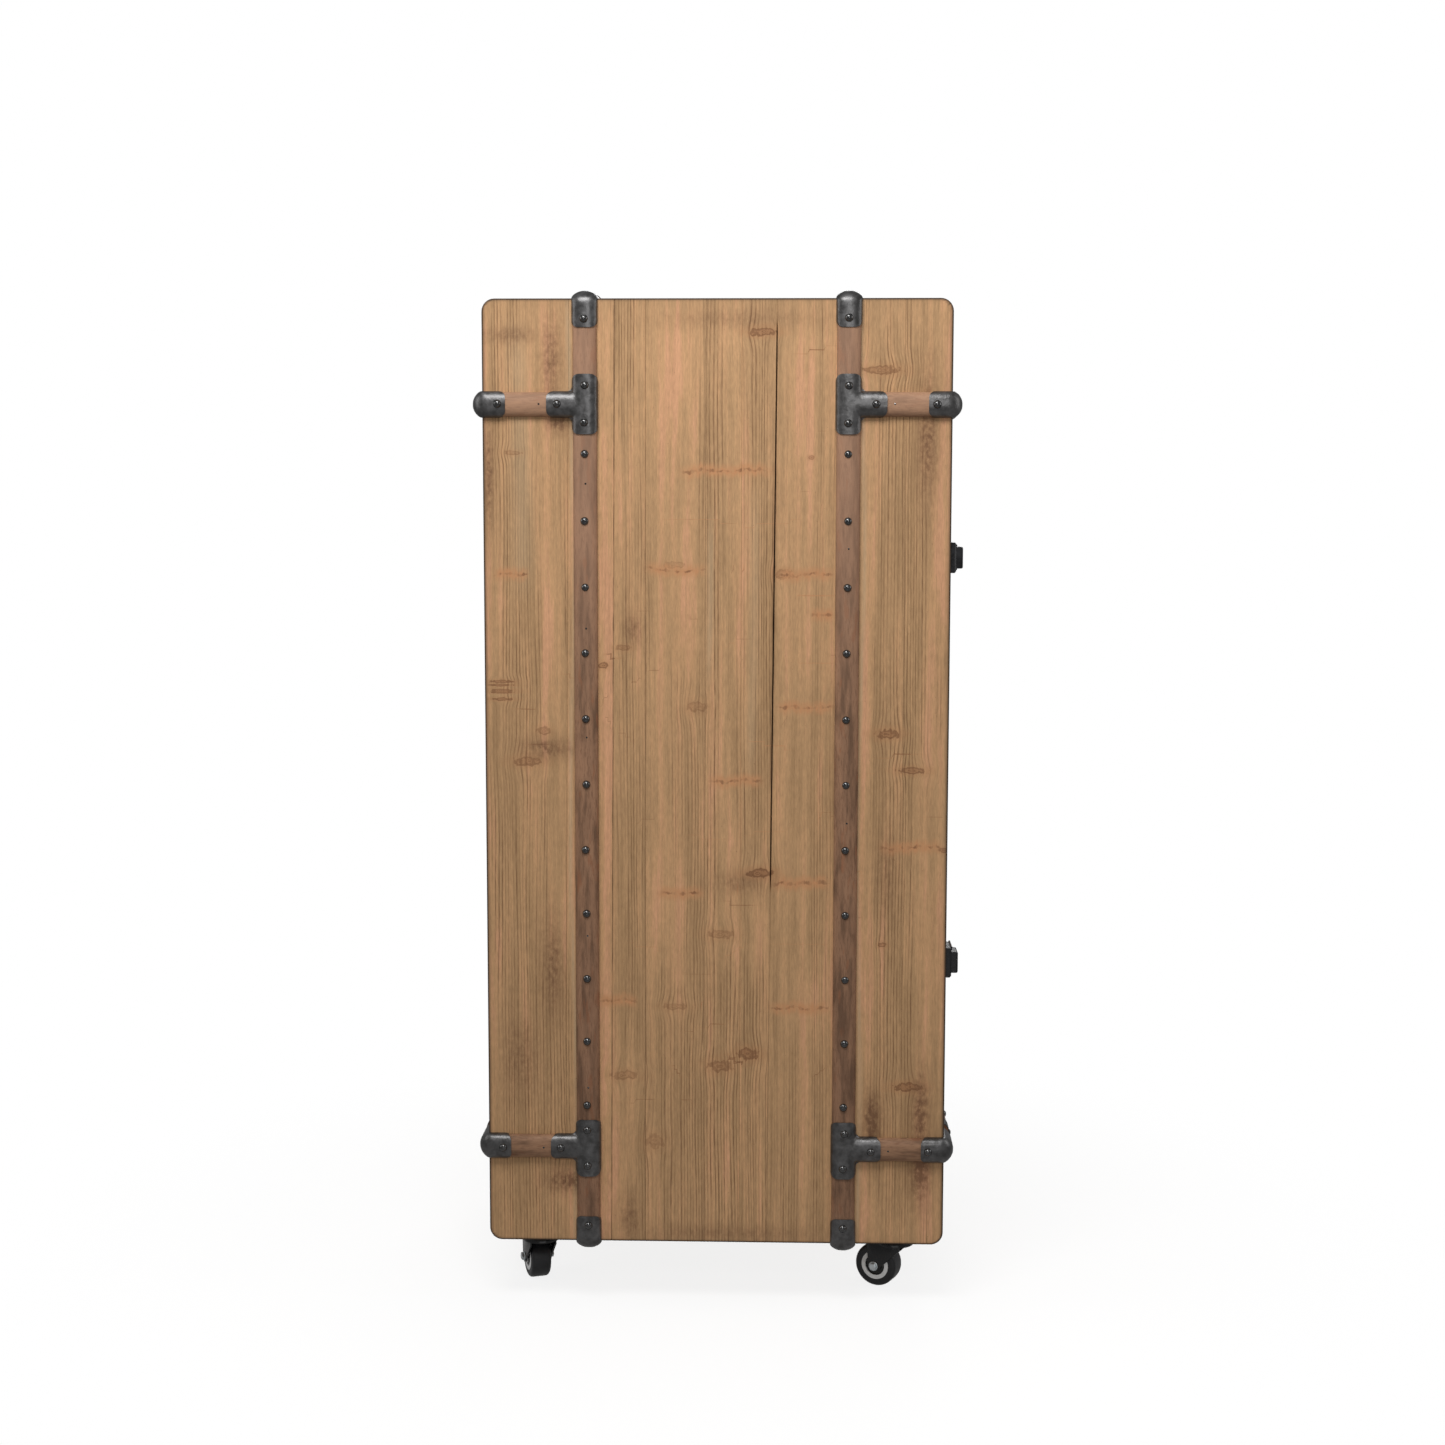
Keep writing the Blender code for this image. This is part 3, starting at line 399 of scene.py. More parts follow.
def fir_face(name):
    """Fir on the attributes of the door's face: grain, marks, tint, knot and scar."""
    material, shader = new_finish(name, Specular_IOR_Level=0.22)
    tree, read = shader.id_data, {}
    for word in ("grain", "marks", "tint", "knot", "scar"):
        stored = Value(add_node(tree, "ShaderNodeAttribute", attribute_name=word).outputs["Vector"])
        parts = add_node(tree, "ShaderNodeSeparateXYZ", {0: stored}).outputs
        read[word] = [Value(part) for part in parts]
    across, along, board = read["grain"]
    seam, stain, edge = read["marks"]
    orange, lined, pale = read["tint"]
    wood, height = fir_pattern(across, along, board, lined, orange, pale)
    ragged = noise(vector_of(across * 0.20, along * 0.12, board), 1.0, 3.0, 0.6) - 0.5
    wood, outline = add_knots(wood, ragged, *read["knot"])
    wood, thin = add_scars(wood, ragged, board, *read["scar"])
    soak = (stain * (ragged * 3.2 + 1.10)).math("MAXIMUM", 0.0).math("MINIMUM", 0.85)
    wood = blend(soak, wood, STAIN_BROWN)
    # Painted shade: the outer few millimetres of the face are darkened as if in shade where the eased edge
    # turns away.
    wood = blend(edge * 0.94, wood, EDGE_PAINTED_SHADE)
    gaps = noise(vector_of(along / 45.0, board, 0.0), 1.0, 2.0)
    tight = seam * rise(gaps, 0.36, 0.62, 0.25, 1.0)
    wood = blend(tight.math("MAXIMUM", rise(seam, 0.80, 0.98)), wood, SEAM_DARK)
    height = height - outline.math("MAXIMUM", thin) * 0.5
    finish_surface(shader, wood, rise(height, -0.8, 0.4, 0.78, 0.60), height, 0.0003, 0.7)
    return material


FIR_FACE = fir_face("fir_face")
print("the door's finish has", len(FIR_FACE.node_tree.nodes), "nodes")

# %% [markdown]
# ## Battens, iron, steel and rubber
# The battens are a closer, redder wood, with painted light making them paler towards the top of
# the armoire and painted shade making them darker towards its foot. The straps are sheet iron,
# hammered over the battens and blackened: dark, with small soft dents and a little grey where
# hands have polished them. Nails and latches are black. The casters are gloss enamel, with a pale
# plastic ring in each wheel, a rubber tyre and a zinc bolt.

# %% Finish of the battens
BATTEN_RED, CROSS_RED = (0.262, 0.142, 0.082), (0.335, 0.185, 0.105)
PORE_DARK, RED_STREAK = (0.110, 0.052, 0.028), (0.270, 0.108, 0.050)
TOP_PAINTED_LIGHT, FOOT_PAINTED_SHADE = (0.420, 0.245, 0.158), (0.100, 0.050, 0.030)


def batten_finish(name, along_axis, across_axis, middle=BATTEN_RED):
    """Reddish wood around a middle colour, with short dark pores that run along the batten."""
    material, shader = new_finish(name, Specular_IOR_Level=0.25)
    _, axes = object_place(shader)
    across, along = axes[across_axis] * 1000.0, axes[along_axis] * 1000.0
    other = axes["X"] * 9.0

    def layer(width, length, detail=2.0):
        return noise(vector_of(across / width, along / length, other), 1.0, detail)

    tone = layer(8.0, 60.0, 3.0)
    dark, light = (tuple(share * c for c in middle) for share in (0.58, 1.25))
    wood = ramp(tone, [(0.34, dark), (0.50, middle), (0.66, light)])
    pores = rise(layer(0.9, 9.0), 0.50, 0.68)
    wood = blend(pores * 0.42, wood, PORE_DARK)
    wood = blend(rise(layer(7.0, 34.0), 0.58, 0.72, 0.0, 0.55), wood, RED_STREAK)
    # Painted light and shade by height alone: paler towards the top, darker towards the foot.
    wood = blend(rise(axes["Z"], 0.70, 1.08, 0.0, 0.42), wood, TOP_PAINTED_LIGHT)
    wood = blend(rise(axes["Z"], 0.62, 0.23, 0.0, 0.27), wood, FOOT_PAINTED_SHADE)
    finish_surface(shader, wood, rise(tone, 0.3, 0.7, 0.66, 0.52), pores * -1.0, 0.0002, 0.5)
    return material


BATTEN_UPRIGHT = batten_finish("batten_upright", "Z", "X")
BATTEN_CROSS = batten_finish("batten_cross", "X", "Z", CROSS_RED)
BATTEN_SIDE = batten_finish("batten_side", "Y", "Z")
BATTEN_ROOF = batten_finish("batten_roof", "Y", "X")
print("four batten finishes, one for each direction of the grain")


# %% Finishes of metal, enamel and rubber
def mottled(name, darkest, lightest, dent, depth, rough, **values):
    """A skin whose colour and roughness drift between two values, with dents of a size in metres."""
    material, shader = new_finish(name, **values)
    place, _ = object_place(shader)
    cloud = noise(place, 90.0, 4.0, 0.6)
    dents = noise(place, 1.0 / dent, 2.0)
    colour = ramp(cloud, [(0.35, darkest), (0.68, lightest)])
    finish_surface(shader, colour, rise(cloud, 0.3, 0.7, *rough), dents, depth, 0.55)
    return material


IRON = mottled(
    "forged_iron", (0.078, 0.076, 0.075), (0.150, 0.147, 0.148), 0.007, 0.0007, (0.33, 0.44), Metallic=0.85
)
NAIL = mottled(
    "nail_black", (0.006, 0.006, 0.006), (0.016, 0.015, 0.015), 0.003, 0.0001, (0.13, 0.20), IOR=1.85
)
LATCH = mottled(
    "latch_black", (0.005, 0.005, 0.006), (0.013, 0.013, 0.015), 0.004, 0.0002, (0.22, 0.34), Metallic=0.3
)
HINGE = mottled(
    "hinge_gunmetal", (0.050, 0.049, 0.050), (0.120, 0.118, 0.120), 0.005, 0.0003, (0.34, 0.48), Metallic=0.8
)
ROD = mottled("rod_steel", (0.42, 0.42, 0.43), (0.60, 0.60, 0.61), 0.02, 0.0001, (0.24, 0.36), Metallic=1.0)
ENAMEL = mottled("caster_enamel", (0.003, 0.003, 0.003), (0.007, 0.007, 0.008), 0.012, 0.0002, (0.14, 0.24))
TYRE = mottled("caster_rubber", (0.006, 0.006, 0.007), (0.016, 0.016, 0.018), 0.002, 0.0001, (0.36, 0.50))
RING = mottled("caster_ring", (0.78, 0.78, 0.77), (0.90, 0.90, 0.89), 0.008, 0.0001, (0.34, 0.46))
ZINC = mottled("zinc_bolt", (0.50, 0.54, 0.56), (0.74, 0.78, 0.80), 0.003, 0.0001, (0.24, 0.36), Metallic=0.9)
print(len(bpy.data.materials), "finishes")

# %% [markdown]
# ## Surfaces from numbers
# Each new piece is a grid: rows run along a path and columns go round a section. A grid whose
# columns wrap, and whose ends shrink to a point, is a closed skin. Its enclosed volume is positive
# only if its faces look outwards, so the sign of that volume tells when to turn them round.


# %% Mesh helpers
def grid_faces(rows, columns, wrap):
    """Quads (i, j), (i, j+1), (i+1, j+1), (i+1, j); the last column joins the first where wrap is set."""
    i, j = np.meshgrid(np.arange(rows - 1), np.arange(columns if wrap else columns - 1), indexing="ij")
    k = (j + 1) % columns
    corners = (i * columns + j, i * columns + k, (i + 1) * columns + k, (i + 1) * columns + j)
    return np.stack(corners, axis=-1).reshape(-1, 4)


def closed_skin(grid, wrap=True):
    """Points and quads of a closed grid, turned outwards by the sign of the sum of a . (b x c) / 6."""
    rows, columns = grid.shape[:2]
    points, quads = grid.reshape(-1, 3), grid_faces(rows, columns, wrap)
    a, b, c, d = (points[quads[:, n]] - points.mean(axis=0) for n in range(4))
    volume = (a * np.cross(b, c)).sum() + (a * np.cross(c, d)).sum()
    return points, quads if volume > 0 else quads[:, ::-1]


def make_piece(name, skins, finishes, body, stands_for=(), sharp=40.0, attributes=None):
    """One object from several skins, welded, smooth up to an angle, riding on its body."""
    counts = np.cumsum([0] + [len(points) for points, faces in skins])
    points = np.concatenate([points for points, faces in skins])
    faces = [face for start, (_, quads) in zip(counts, skins) for face in (quads + start).tolist()]
    mesh = bpy.data.meshes.new(name)
    mesh.from_pydata(points.tolist(), [], faces)
    for word, values in (attributes or {}).items():
        mesh.attributes.new(word, "FLOAT_VECTOR", "POINT").data.foreach_set("vector", values.ravel())
    bm = bmesh.new()
    bm.from_mesh(mesh)
    bmesh.ops.remove_doubles(bm, verts=bm.verts, dist=2e-6)
    bm.to_mesh(mesh)
    bm.free()
    for finish in finishes if isinstance(finishes, (list, tuple)) else [finishes]:
        mesh.materials.append(finish)
    mesh.shade_smooth()
    mesh.set_sharp_from_angle(angle=radians(sharp))
    obj = bpy.data.objects.new(name, mesh)
    bpy.context.scene.collection.objects.link(obj)
    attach(obj, body)
    if stands_for:
        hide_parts(*stands_for)
    return obj


def bar_section(half_width, round_over, wall=0.22, steps=8):
    """Half-round section, places across and shares of the height: a low wall, then a quarter ellipse."""
    angle = np.linspace(0, pi / 2, steps + 1)
    across = np.concatenate([[half_width], half_width - round_over * (1 - np.cos(angle))])
    share = np.concatenate([[0.0], wall + (1 - wall) * np.sin(angle)])
    return np.concatenate([across, -across[::-1]]), np.concatenate([share, share[::-1]])


def half_round_bar(start, end, outward, half_width, height, round_over, seed, rows=60):
    """A half-round bar between two points of its base line; its height and edges waver by 0.15 mm."""
    start, end, outward = (np.array(v, float) for v in (start, end, outward))
    way = (end - start) / np.linalg.norm(end - start)
    side = np.cross(way, outward)
    across, share = bar_section(half_width, round_over)
    t = np.concatenate([[0, 0], np.linspace(0, 1, rows), [1, 1]])[:, None]
    swell = np.concatenate([[0, 1], np.ones(rows), [1, 0]])[:, None]
    length = np.linalg.norm(end - start)
    waver = np.sin(t * length * 31 + seed) + np.sin(t * length * 73 + 2.1 * seed)
    spread = swell * (1 - 0.006 * (1 + waver / 2))
    lift = swell * height * share * (1 - 0.008 * (1 + waver / 2))
    base_line = start + t[..., None] * (end - start)
    return closed_skin(base_line + (across * spread)[..., None] * side + lift[..., None] * outward)


def turned(profile, centre, axis, steps=20, ring=False):
    """A profile of (radius, height) pairs turned about an axis; a ring's profile joins its own start."""
    profile = np.array(profile + [profile[0]] if ring else profile, float)
    centre, axis = np.array(centre, float), np.array(axis, float)
    axis /= np.linalg.norm(axis)
    first = np.cross(axis, (0.0, 0.0, 1.0) if abs(axis[2]) < 0.9 else (1.0, 0.0, 0.0))
    first /= np.linalg.norm(first)
    second = np.cross(axis, first)
    angle = np.linspace(0, 2 * pi, steps, endpoint=False)
    circle = np.cos(angle)[:, None] * first + np.sin(angle)[:, None] * second
    grid = centre + profile[:, 0, None, None] * circle + profile[:, 1, None, None] * axis
    return closed_skin(grid)


print("mesh helpers ready")

# %% [markdown]
# ## The door's face
# The face is glued up from boards of uneven width. One joint has opened into a black crack, and the
# others show as thin lines. A flat plate with painted lines would look printed, so the face is a real
# height field: each board sits a little higher or lower than the next, the joints are grooves, and
# the crack is cut six millimetres deep. The same arrays that shape it also say where the knots and
# stains lie, and carry the grain around each knot. Places are metres from the middle and the foot.

# %% Sizes of the face, and its boards
WIDTH, HEIGHT = door_high.x - door_low.x, door_high.z - door_low.z
middle_x = (door_low.x + door_high.x) / 2
face_centre = np.array([middle_x, 0, door_low.z + HEIGHT / 2])
CORNER, EASE = 0.016, 0.0022
JOINTS = [  # place across at the top and at the foot, half width, depth and darkness of each joint
    (-0.1834, -0.1938, 0.0006, 0.0004, 0.40),
    (-0.1266, -0.1345, 0.0010, 0.0006, 0.72),
    (-0.0883, -0.0908, 0.0007, 0.0004, 0.62),
    (-0.0130, -0.0161, 0.0006, 0.0003, 0.40),
    (0.0315, 0.0300, 0.0006, 0.0003, 0.25),
    (0.0750, 0.0650, 0.0007, 0.0004, 0.45),
    (0.1610, 0.1610, 0.0006, 0.0003, 0.40),
    (0.2327, 0.2370, 0.0006, 0.0003, 0.35),
]
BOARD_SINKS = np.array([0.2, 0.0, 0.3, 0.1, 0.25, 0.05, 0.2, 0.0, 0.15]) * 0.001
CRACK_JOINT, CRACK_FOOT, CRACK_HEAD = 5, 0.458, 1.172
CRACK_HALF, CRACK_DEPTH = 0.0013, 0.006
print(len(JOINTS) + 1, "boards; the crack is", round(CRACK_HEAD - CRACK_FOOT, 3), "m long")

# %% Knots, healed branches, stains and bands of colour
KNOTS = [  # across, height, half width, half height, strength
    (0.0574, 1.159, 0.0150, 0.0046, 1.00), (-0.0538, 0.871, 0.0120, 0.0040, 0.35),
    (0.0836, 0.860, 0.0100, 0.0055, 0.60), (0.2048, 1.112, 0.0190, 0.0050, 0.75),
    (-0.2705, 0.724, 0.0130, 0.0018, 0.90), (-0.2715, 0.713, 0.0140, 0.0018, 0.90),
    (-0.2705, 0.702, 0.0120, 0.0018, 0.90), (-0.2376, 0.623, 0.0150, 0.0055, 0.70),
    (0.2160, 0.660, 0.0130, 0.0055, 0.95), (0.2465, 0.614, 0.0150, 0.0038, 0.85),
    (-0.0243, 0.693, 0.0110, 0.0060, 0.45), (0.0561, 0.482, 0.0150, 0.0050, 1.10),
    (0.0053, 0.403, 0.0140, 0.0050, 0.50), (-0.0523, 0.309, 0.0140, 0.0040, 0.40),
    (0.0408, 0.248, 0.0120, 0.0065, 0.95), (0.0050, 0.232, 0.0130, 0.0065, 0.70),
    (-0.1166, 0.219, 0.0160, 0.0050, 0.50), (0.2454, 0.207, 0.0150, 0.0050, 1.00),
    (-0.0786, 0.133, 0.0110, 0.0080, 0.40), (-0.1169, 0.767, 0.0080, 0.0035, 0.55),
    (-0.1420, 0.745, 0.0060, 0.0035, 0.90), (0.2111, 0.391, 0.0045, 0.0030, 0.80),
    (0.2877, 0.513, 0.0060, 0.0026, 0.80), (-0.2170, 0.662, 0.0080, 0.0045, 0.55),
    (-0.2540, 1.010, 0.0090, 0.0026, 0.45), (-0.2031, 0.122, 0.0100, 0.0060, 0.50),
    (0.1180, 1.005, 0.0030, 0.0022, 0.60),
]  # fmt: skip
SCARS = [  # from, to, height
    (-0.047, 0.072, 0.988), (-0.090, -0.013, 0.866), (0.077, 0.147, 0.860), (0.118, 0.148, 0.809),
    (0.075, 0.148, 0.692), (0.067, 0.145, 0.309), (-0.150, -0.100, 0.317), (-0.280, -0.235, 0.860),
    (0.205, 0.285, 0.516), (-0.075, -0.015, 0.455), (-0.010, 0.060, 0.600), (0.070, 0.145, 0.470),
]  # fmt: skip
STAINS = [  # across, height, half width, half height, strength
    (-0.205, 1.125, 0.012, 0.050, 0.50), (-0.196, 1.048, 0.014, 0.012, 0.75),
    (-0.212, 0.640, 0.030, 0.012, 0.55), (-0.208, 0.360, 0.012, 0.060, 0.50),
    (0.262, 1.030, 0.012, 0.075, 0.60), (0.200, 0.160, 0.010, 0.035, 0.85),
    (0.262, 0.110, 0.012, 0.045, 0.90), (-0.190, 0.080, 0.026, 0.014, 0.70),
    (-0.250, 0.240, 0.020, 0.050, 0.35), (0.030, 1.175, 0.090, 0.010, 0.28),
    (-0.105, 0.790, 0.010, 0.016, 0.45), (0.020, 0.012, 0.110, 0.010, 0.30),
    (-0.255, 1.155, 0.030, 0.008, 0.45), (0.215, 0.480, 0.012, 0.050, 0.30),
    (-0.284, 0.980, 0.005, 0.060, 0.60), (0.262, 0.170, 0.010, 0.050, 0.70),
    (-0.110, 0.030, 0.012, 0.030, 0.45), (0.030, 0.470, 0.030, 0.012, 0.35),
]  # fmt: skip
ORANGE = [  # across, half width, from and to which height, strength
    (-0.213, 0.009, 0.62, 1.18, 0.8), (0.264, 0.010, 0.03, 1.16, 0.7), (0.188, 0.009, 0.08, 1.12, 0.9),
    (-0.139, 0.009, 0.00, 1.20, 1.0), (-0.055, 0.024, 0.42, 1.18, 0.75), (0.110, 0.032, 0.72, 1.14, 0.6),
    (-0.287, 0.006, 0.25, 1.19, 0.8), (0.020, 0.016, 0.50, 1.20, 0.4), (0.110, 0.030, 0.28, 0.36, 0.8),
    (-0.200, 0.012, 0.02, 0.12, 0.6), (0.045, 0.020, 0.02, 0.25, 0.5), (0.205, 0.020, 0.00, 0.08, 0.6),
]  # fmt: skip
LINED = [  # the same five numbers, where the growth lines stand out
    (-0.252, 0.026, 0.00, 1.20, 0.75), (-0.108, 0.014, 0.25, 1.20, 0.90), (-0.004, 0.013, 0.45, 1.20, 0.85),
    (0.054, 0.016, 0.45, 1.20, 0.90), (0.000, 0.100, 0.00, 0.36, 0.90), (0.226, 0.028, 0.05, 1.15, 1.10),
    (0.130, 0.014, 0.00, 1.20, 0.50), (-0.230, 0.050, 0.00, 0.35, 0.80), (-0.030, 0.020, 0.30, 0.75, 0.80),
]  # fmt: skip
PALE = [  # the same, where the wood is scraped pale beside the battens and in a few strips
    (-0.1815, 0.0022, 0.00, 1.20, 0.9), (0.1810, 0.0022, 0.00, 1.20, 0.9), (-0.010, 0.003, 0.74, 0.92, 0.7),
    (-0.245, 0.012, 0.85, 1.15, 0.5), (0.045, 0.006, 0.62, 0.95, 0.4),
]  # fmt: skip
print(len(KNOTS), "knots,", len(SCARS), "healed branches,", len(STAINS), "stains")


# %% Rows and columns of the face
EASED_ROWS = np.array([0.0, 0.0003, 0.0009, 0.0016])
BESIDE_EDGE, BESIDE_JOINT = np.append(EASED_ROWS, 0.0024), np.array([0.0, 0.0005, 0.0010])
COLUMN_STEP = 0.0031


def face_grid():
    """Places across and up for each row and column, packed beside the edges and the joints.

    A column keeps its share of the way between the two joints beside it, so it leans as they do.
    """
    up = np.linspace(CORNER, HEIGHT - CORNER, 236)
    bend = CORNER * (1 - np.cos(np.linspace(0, pi / 2, 9)[:-1]))
    low_rows = np.unique(np.concatenate([bend, EASED_ROWS]))
    z = np.concatenate([low_rows, up, HEIGHT - low_rows[::-1]])
    foot_to_top = (z / HEIGHT)[:, None]
    lines = [np.full((len(z), 1), -WIDTH / 2)]
    lines += [foot + (top - foot) * foot_to_top for top, foot, *_ in JOINTS]
    lines += [np.full((len(z), 1), WIDTH / 2)]
    columns = []
    for n, (left, right) in enumerate(zip(lines, lines[1:])):
        inner = np.linspace(0.004, 0.996, max(4, int((right - left).mean() / COLUMN_STEP)))[None, 1:-1]
        beside = BESIDE_EDGE if n == 0 else BESIDE_JOINT
        beyond = (BESIDE_EDGE if n == len(JOINTS) else BESIDE_JOINT)[:0:-1]
        columns += [left + beside, left + 0.0016 + (right - left - 0.0032) * inner, right - beyond]
    across = np.concatenate(columns + [lines[-1]], axis=1)
    return across, np.repeat(z[:, None], across.shape[1], axis=1)


def inside_outline(across, up):
    """Places held inside the outline with its round corners, and how far each lies from it."""
    reach = WIDTH / 2 - CORNER
    height_in = np.minimum(up, HEIGHT - up)
    drop = np.clip(CORNER - height_in, 0, CORNER)
    limit = reach + np.sqrt(CORNER**2 - drop**2)
    across = np.clip(across, -limit, limit)
    past = np.clip(np.abs(across) - reach, 0, None)
    straight_in = np.minimum(WIDTH / 2 - np.abs(across), height_in)
    from_side = np.where((past > 0) & (drop > 0), CORNER - np.hypot(past, drop), straight_in)
    return across, np.clip(from_side, 0, None)


across, up = face_grid()
across, from_side = inside_outline(across, up)
print("face grid", across.shape)


# %% Fields over the face
def cut_joints():
    """Depth of the grooves, darkness of the seams and number of the board: a groove is a V in section."""
    board, depth, seam = (np.zeros_like(across) for _ in range(3))
    for n, (top, foot, width, cut, dark) in enumerate(JOINTS):
        line = foot + (top - foot) * up / HEIGHT
        board += across > line
        if n == CRACK_JOINT:
            opening = np.clip(np.minimum(up - CRACK_FOOT, CRACK_HEAD - up) / 0.05, 0, 1)
            gaping = opening * (0.55 + 0.45 * np.sin(up * 5.2 + 0.4) ** 2)
            fully = np.clip(opening * 3, 0, 1)
            width = width + (CRACK_HALF - width) * gaping
            cut = cut + (CRACK_DEPTH - cut) * fully
            dark = dark + (1 - dark) * fully
        groove = np.clip(1 - np.abs(across - line) / width, 0, 1)
        depth += cut * groove
        seam = np.maximum(seam, dark * np.clip(groove * 1.6, 0, 1))
    return depth, seam, board


def place_knots():
    """Place in the nearest knot in its radii, and how far the grain swerves: a bell curve at each knot."""
    nearest, local = np.full(across.shape, np.inf), np.zeros((3, *across.shape))
    shift = np.zeros_like(across)
    for n, (knot_x, knot_z, half_x, half_z, strength) in enumerate(KNOTS):
        over, above = across - knot_x, up - knot_z
        here = np.stack([over / half_x, above / half_z, np.full_like(up, strength)])
        far = here[0] ** 2 + here[1] ** 2
        local = np.where(far < nearest, here, local)
        nearest = np.minimum(far, nearest)
        push = np.exp(-(over**2) / (1.6 * half_x) ** 2 - above**2 / (3.4 * half_z) ** 2)
        shift += (0.35 * over + 0.4 * half_z * np.sin(n * 2.3)) * push
    return local, shift


def place_scars():
    """Millimetres along and above the nearest healed branch, and half its length."""
    closest, local = np.full(across.shape, np.inf), np.zeros((3, *across.shape))
    for left, right, scar_z in SCARS:
        half = (right - left) / 2
        along_it, over_it = across - (left + right) / 2, up - scar_z
        gap = np.hypot(np.clip(np.abs(along_it) - half, 0, None), over_it)
        here = np.stack([along_it, over_it, np.full_like(up, half)]) * 1000
        local = np.where(gap < closest, here, local)
        closest = np.minimum(gap, closest)
    return local


def soak_stains():
    """Strength of the stains: the largest of their bell curves."""
    stain = np.zeros_like(across)
    for stain_x, stain_z, half_x, half_z, strength in STAINS:
        spread = ((across - stain_x) / half_x) ** 2 + ((up - stain_z) / half_z) ** 2
        stain = np.maximum(stain, strength * np.exp(-spread * 0.8))
    return stain


def tint_strips(strips):
    """Strength of upright strips: a bell curve across, and a ramp of 60 mm at each end."""
    tint = np.zeros_like(across)
    for middle, half, foot, head, strength in strips:
        span = np.clip(np.minimum(up - foot, head - up) / 0.06 + 0.5, 0, 1)
        off = (across - middle - 0.003 * np.sin(up * 9)) / half
        tint = np.maximum(tint, strength * span * np.exp(-(off**2)))
    return tint


eased = EASE * (1 - np.sqrt(1 - np.clip(1 - from_side / EASE, 0, 1) ** 2))
grooves, seam, board = cut_joints()
sunk = BOARD_SINKS[board.astype(int)] * np.clip(from_side / 0.01, 0, 1)
depth = eased + grooves + sunk
knot, shift = place_knots()
# Painted shade along the door's outline: a dark band 3 mm wide, and a faint darkening over 8 mm.
edge_painted_shade = np.clip(np.clip((0.0030 - from_side) / 0.0014, 0, 1) + 0.16 * np.exp(-from_side / 0.008), 0, 1)
fields = {
    "grain": np.stack([(across - shift) * 1000, up * 1000, board], axis=-1),
    "marks": np.stack([seam, soak_stains(), edge_painted_shade], axis=-1),
    "tint": np.stack([tint_strips(strips) for strips in (ORANGE, LINED, PALE)], axis=-1),
    "knot": np.moveaxis(knot, 0, -1),
    "scar": np.moveaxis(place_scars(), 0, -1),
}
print("deepest point", round(float(depth.max()) * 1000, 1), "mm behind the face")

# %% [markdown]
# ### Front, rim and back of the face
# The front is the grid of the height field. Its outline, read once round, is carried back in five
# rows to make the rim, which has the front's painted edge shade at full strength only where the two
# meet. One flat polygon closes the back. The rim and the front share their points, so they weld into one
# closed skin.


# %% Build the face
def round_the_rim(values):
    """A grid's values along its outline: foot, right side, top, left side."""
    return np.concatenate([values[0], values[1:, -1], values[-1, -2::-1], values[-2:0:-1, 0]])


def turned_towards(points, quads, outward):
    """The quads, turned over if their normals point against outward on the whole."""
    a, b, c = (points[quads[:, n]] for n in range(3))
    facing = (np.cross(b - a, c - a) * outward).sum()
    return quads if facing > 0 else quads[:, ::-1]


front = np.stack([middle_x + across, door_low.y + depth, door_low.z + up], axis=-1)
rim = round_the_rim(front)
levels = [door_low.y + EASE + 0.0015, door_low.y + EASE + 0.0040, door_high.y - 0.0012, door_high.y]
sides = np.stack([rim] + [np.stack([rim[:, 0], np.full(len(rim), y), rim[:, 2]], axis=1) for y in levels])
sides[-1] -= (rim - face_centre) * [0.0012 / (WIDTH / 2), 0, 0.0012 / (HEIGHT / 2)]
# How much of the painted edge shade each row of the rim carries.
RIM_EDGE_SHADE = [1.0, 0.85, 0.12, 0.10, 0.5]  # on each row of the rim, from the front to the back

front_points, side_points = front.reshape(-1, 3), sides.reshape(-1, 3)
front_quads = turned_towards(front_points, grid_faces(*front.shape[:2], False), (0, -1, 0))
side_quads = grid_faces(len(sides), len(rim), True)
from_centre = (side_points[side_quads].mean(axis=1) - face_centre) * [1, 0, 1]
side_quads = turned_towards(side_points, side_quads, from_centre)
every_field = {
    word: np.concatenate([values.reshape(-1, 3), np.tile(round_the_rim(values), (len(sides), 1))])
    for word, values in fields.items()
}
every_field["marks"][-len(side_points) :, 2] *= np.repeat(RIM_EDGE_SHADE, len(rim))
skins = [(front_points, front_quads), (side_points, side_quads)]
finishes = [FIR_FACE, INNER_UPRIGHT]
door_face = make_piece("door_face", skins, finishes, "door", ("door_panel",), 30.0, every_field)

bm = bmesh.new()
bm.from_mesh(door_face.data)
open_rim = [edge for edge in bm.edges if edge.is_boundary]
back = bmesh.ops.contextual_create(bm, geom=open_rim)["faces"]
for face in back:
    face.material_index = 1
    face.smooth = False
    face.normal_update()
    if face.normal.y < 0:
        face.normal_flip()
open_edges = sum(edge.is_boundary for edge in bm.edges)
bm.to_mesh(door_face.data)
bm.free()
print("door face", len(door_face.data.polygons), "faces,", open_edges, "open edges")

# %% Dress the plain walls
for name, finish in {
    "left_side": FIR_SIDES,
    "right_side": FIR_SIDES,
    "carcass_top": FIR_ROOF,
    "carcass_bottom": FIR_ROOF,
    "door_frame": FIR_FRAME,
    "back_panel": INNER_UPRIGHT,
    "hat_shelf": INNER_LEVEL,
    "base_board": INNER_LEVEL,
}.items():
    nodes[name].material_slots[0].material = finish
print("walls dressed")

# %% [markdown]
# ## Battens
# A batten is a half-round bar. On the door two stand upright, and four short ones cross the outer
# boards; others run along the sides and the roof, in line with them. One section carried along a
# straight line gives them all, and a slight waver keeps them from looking extruded.

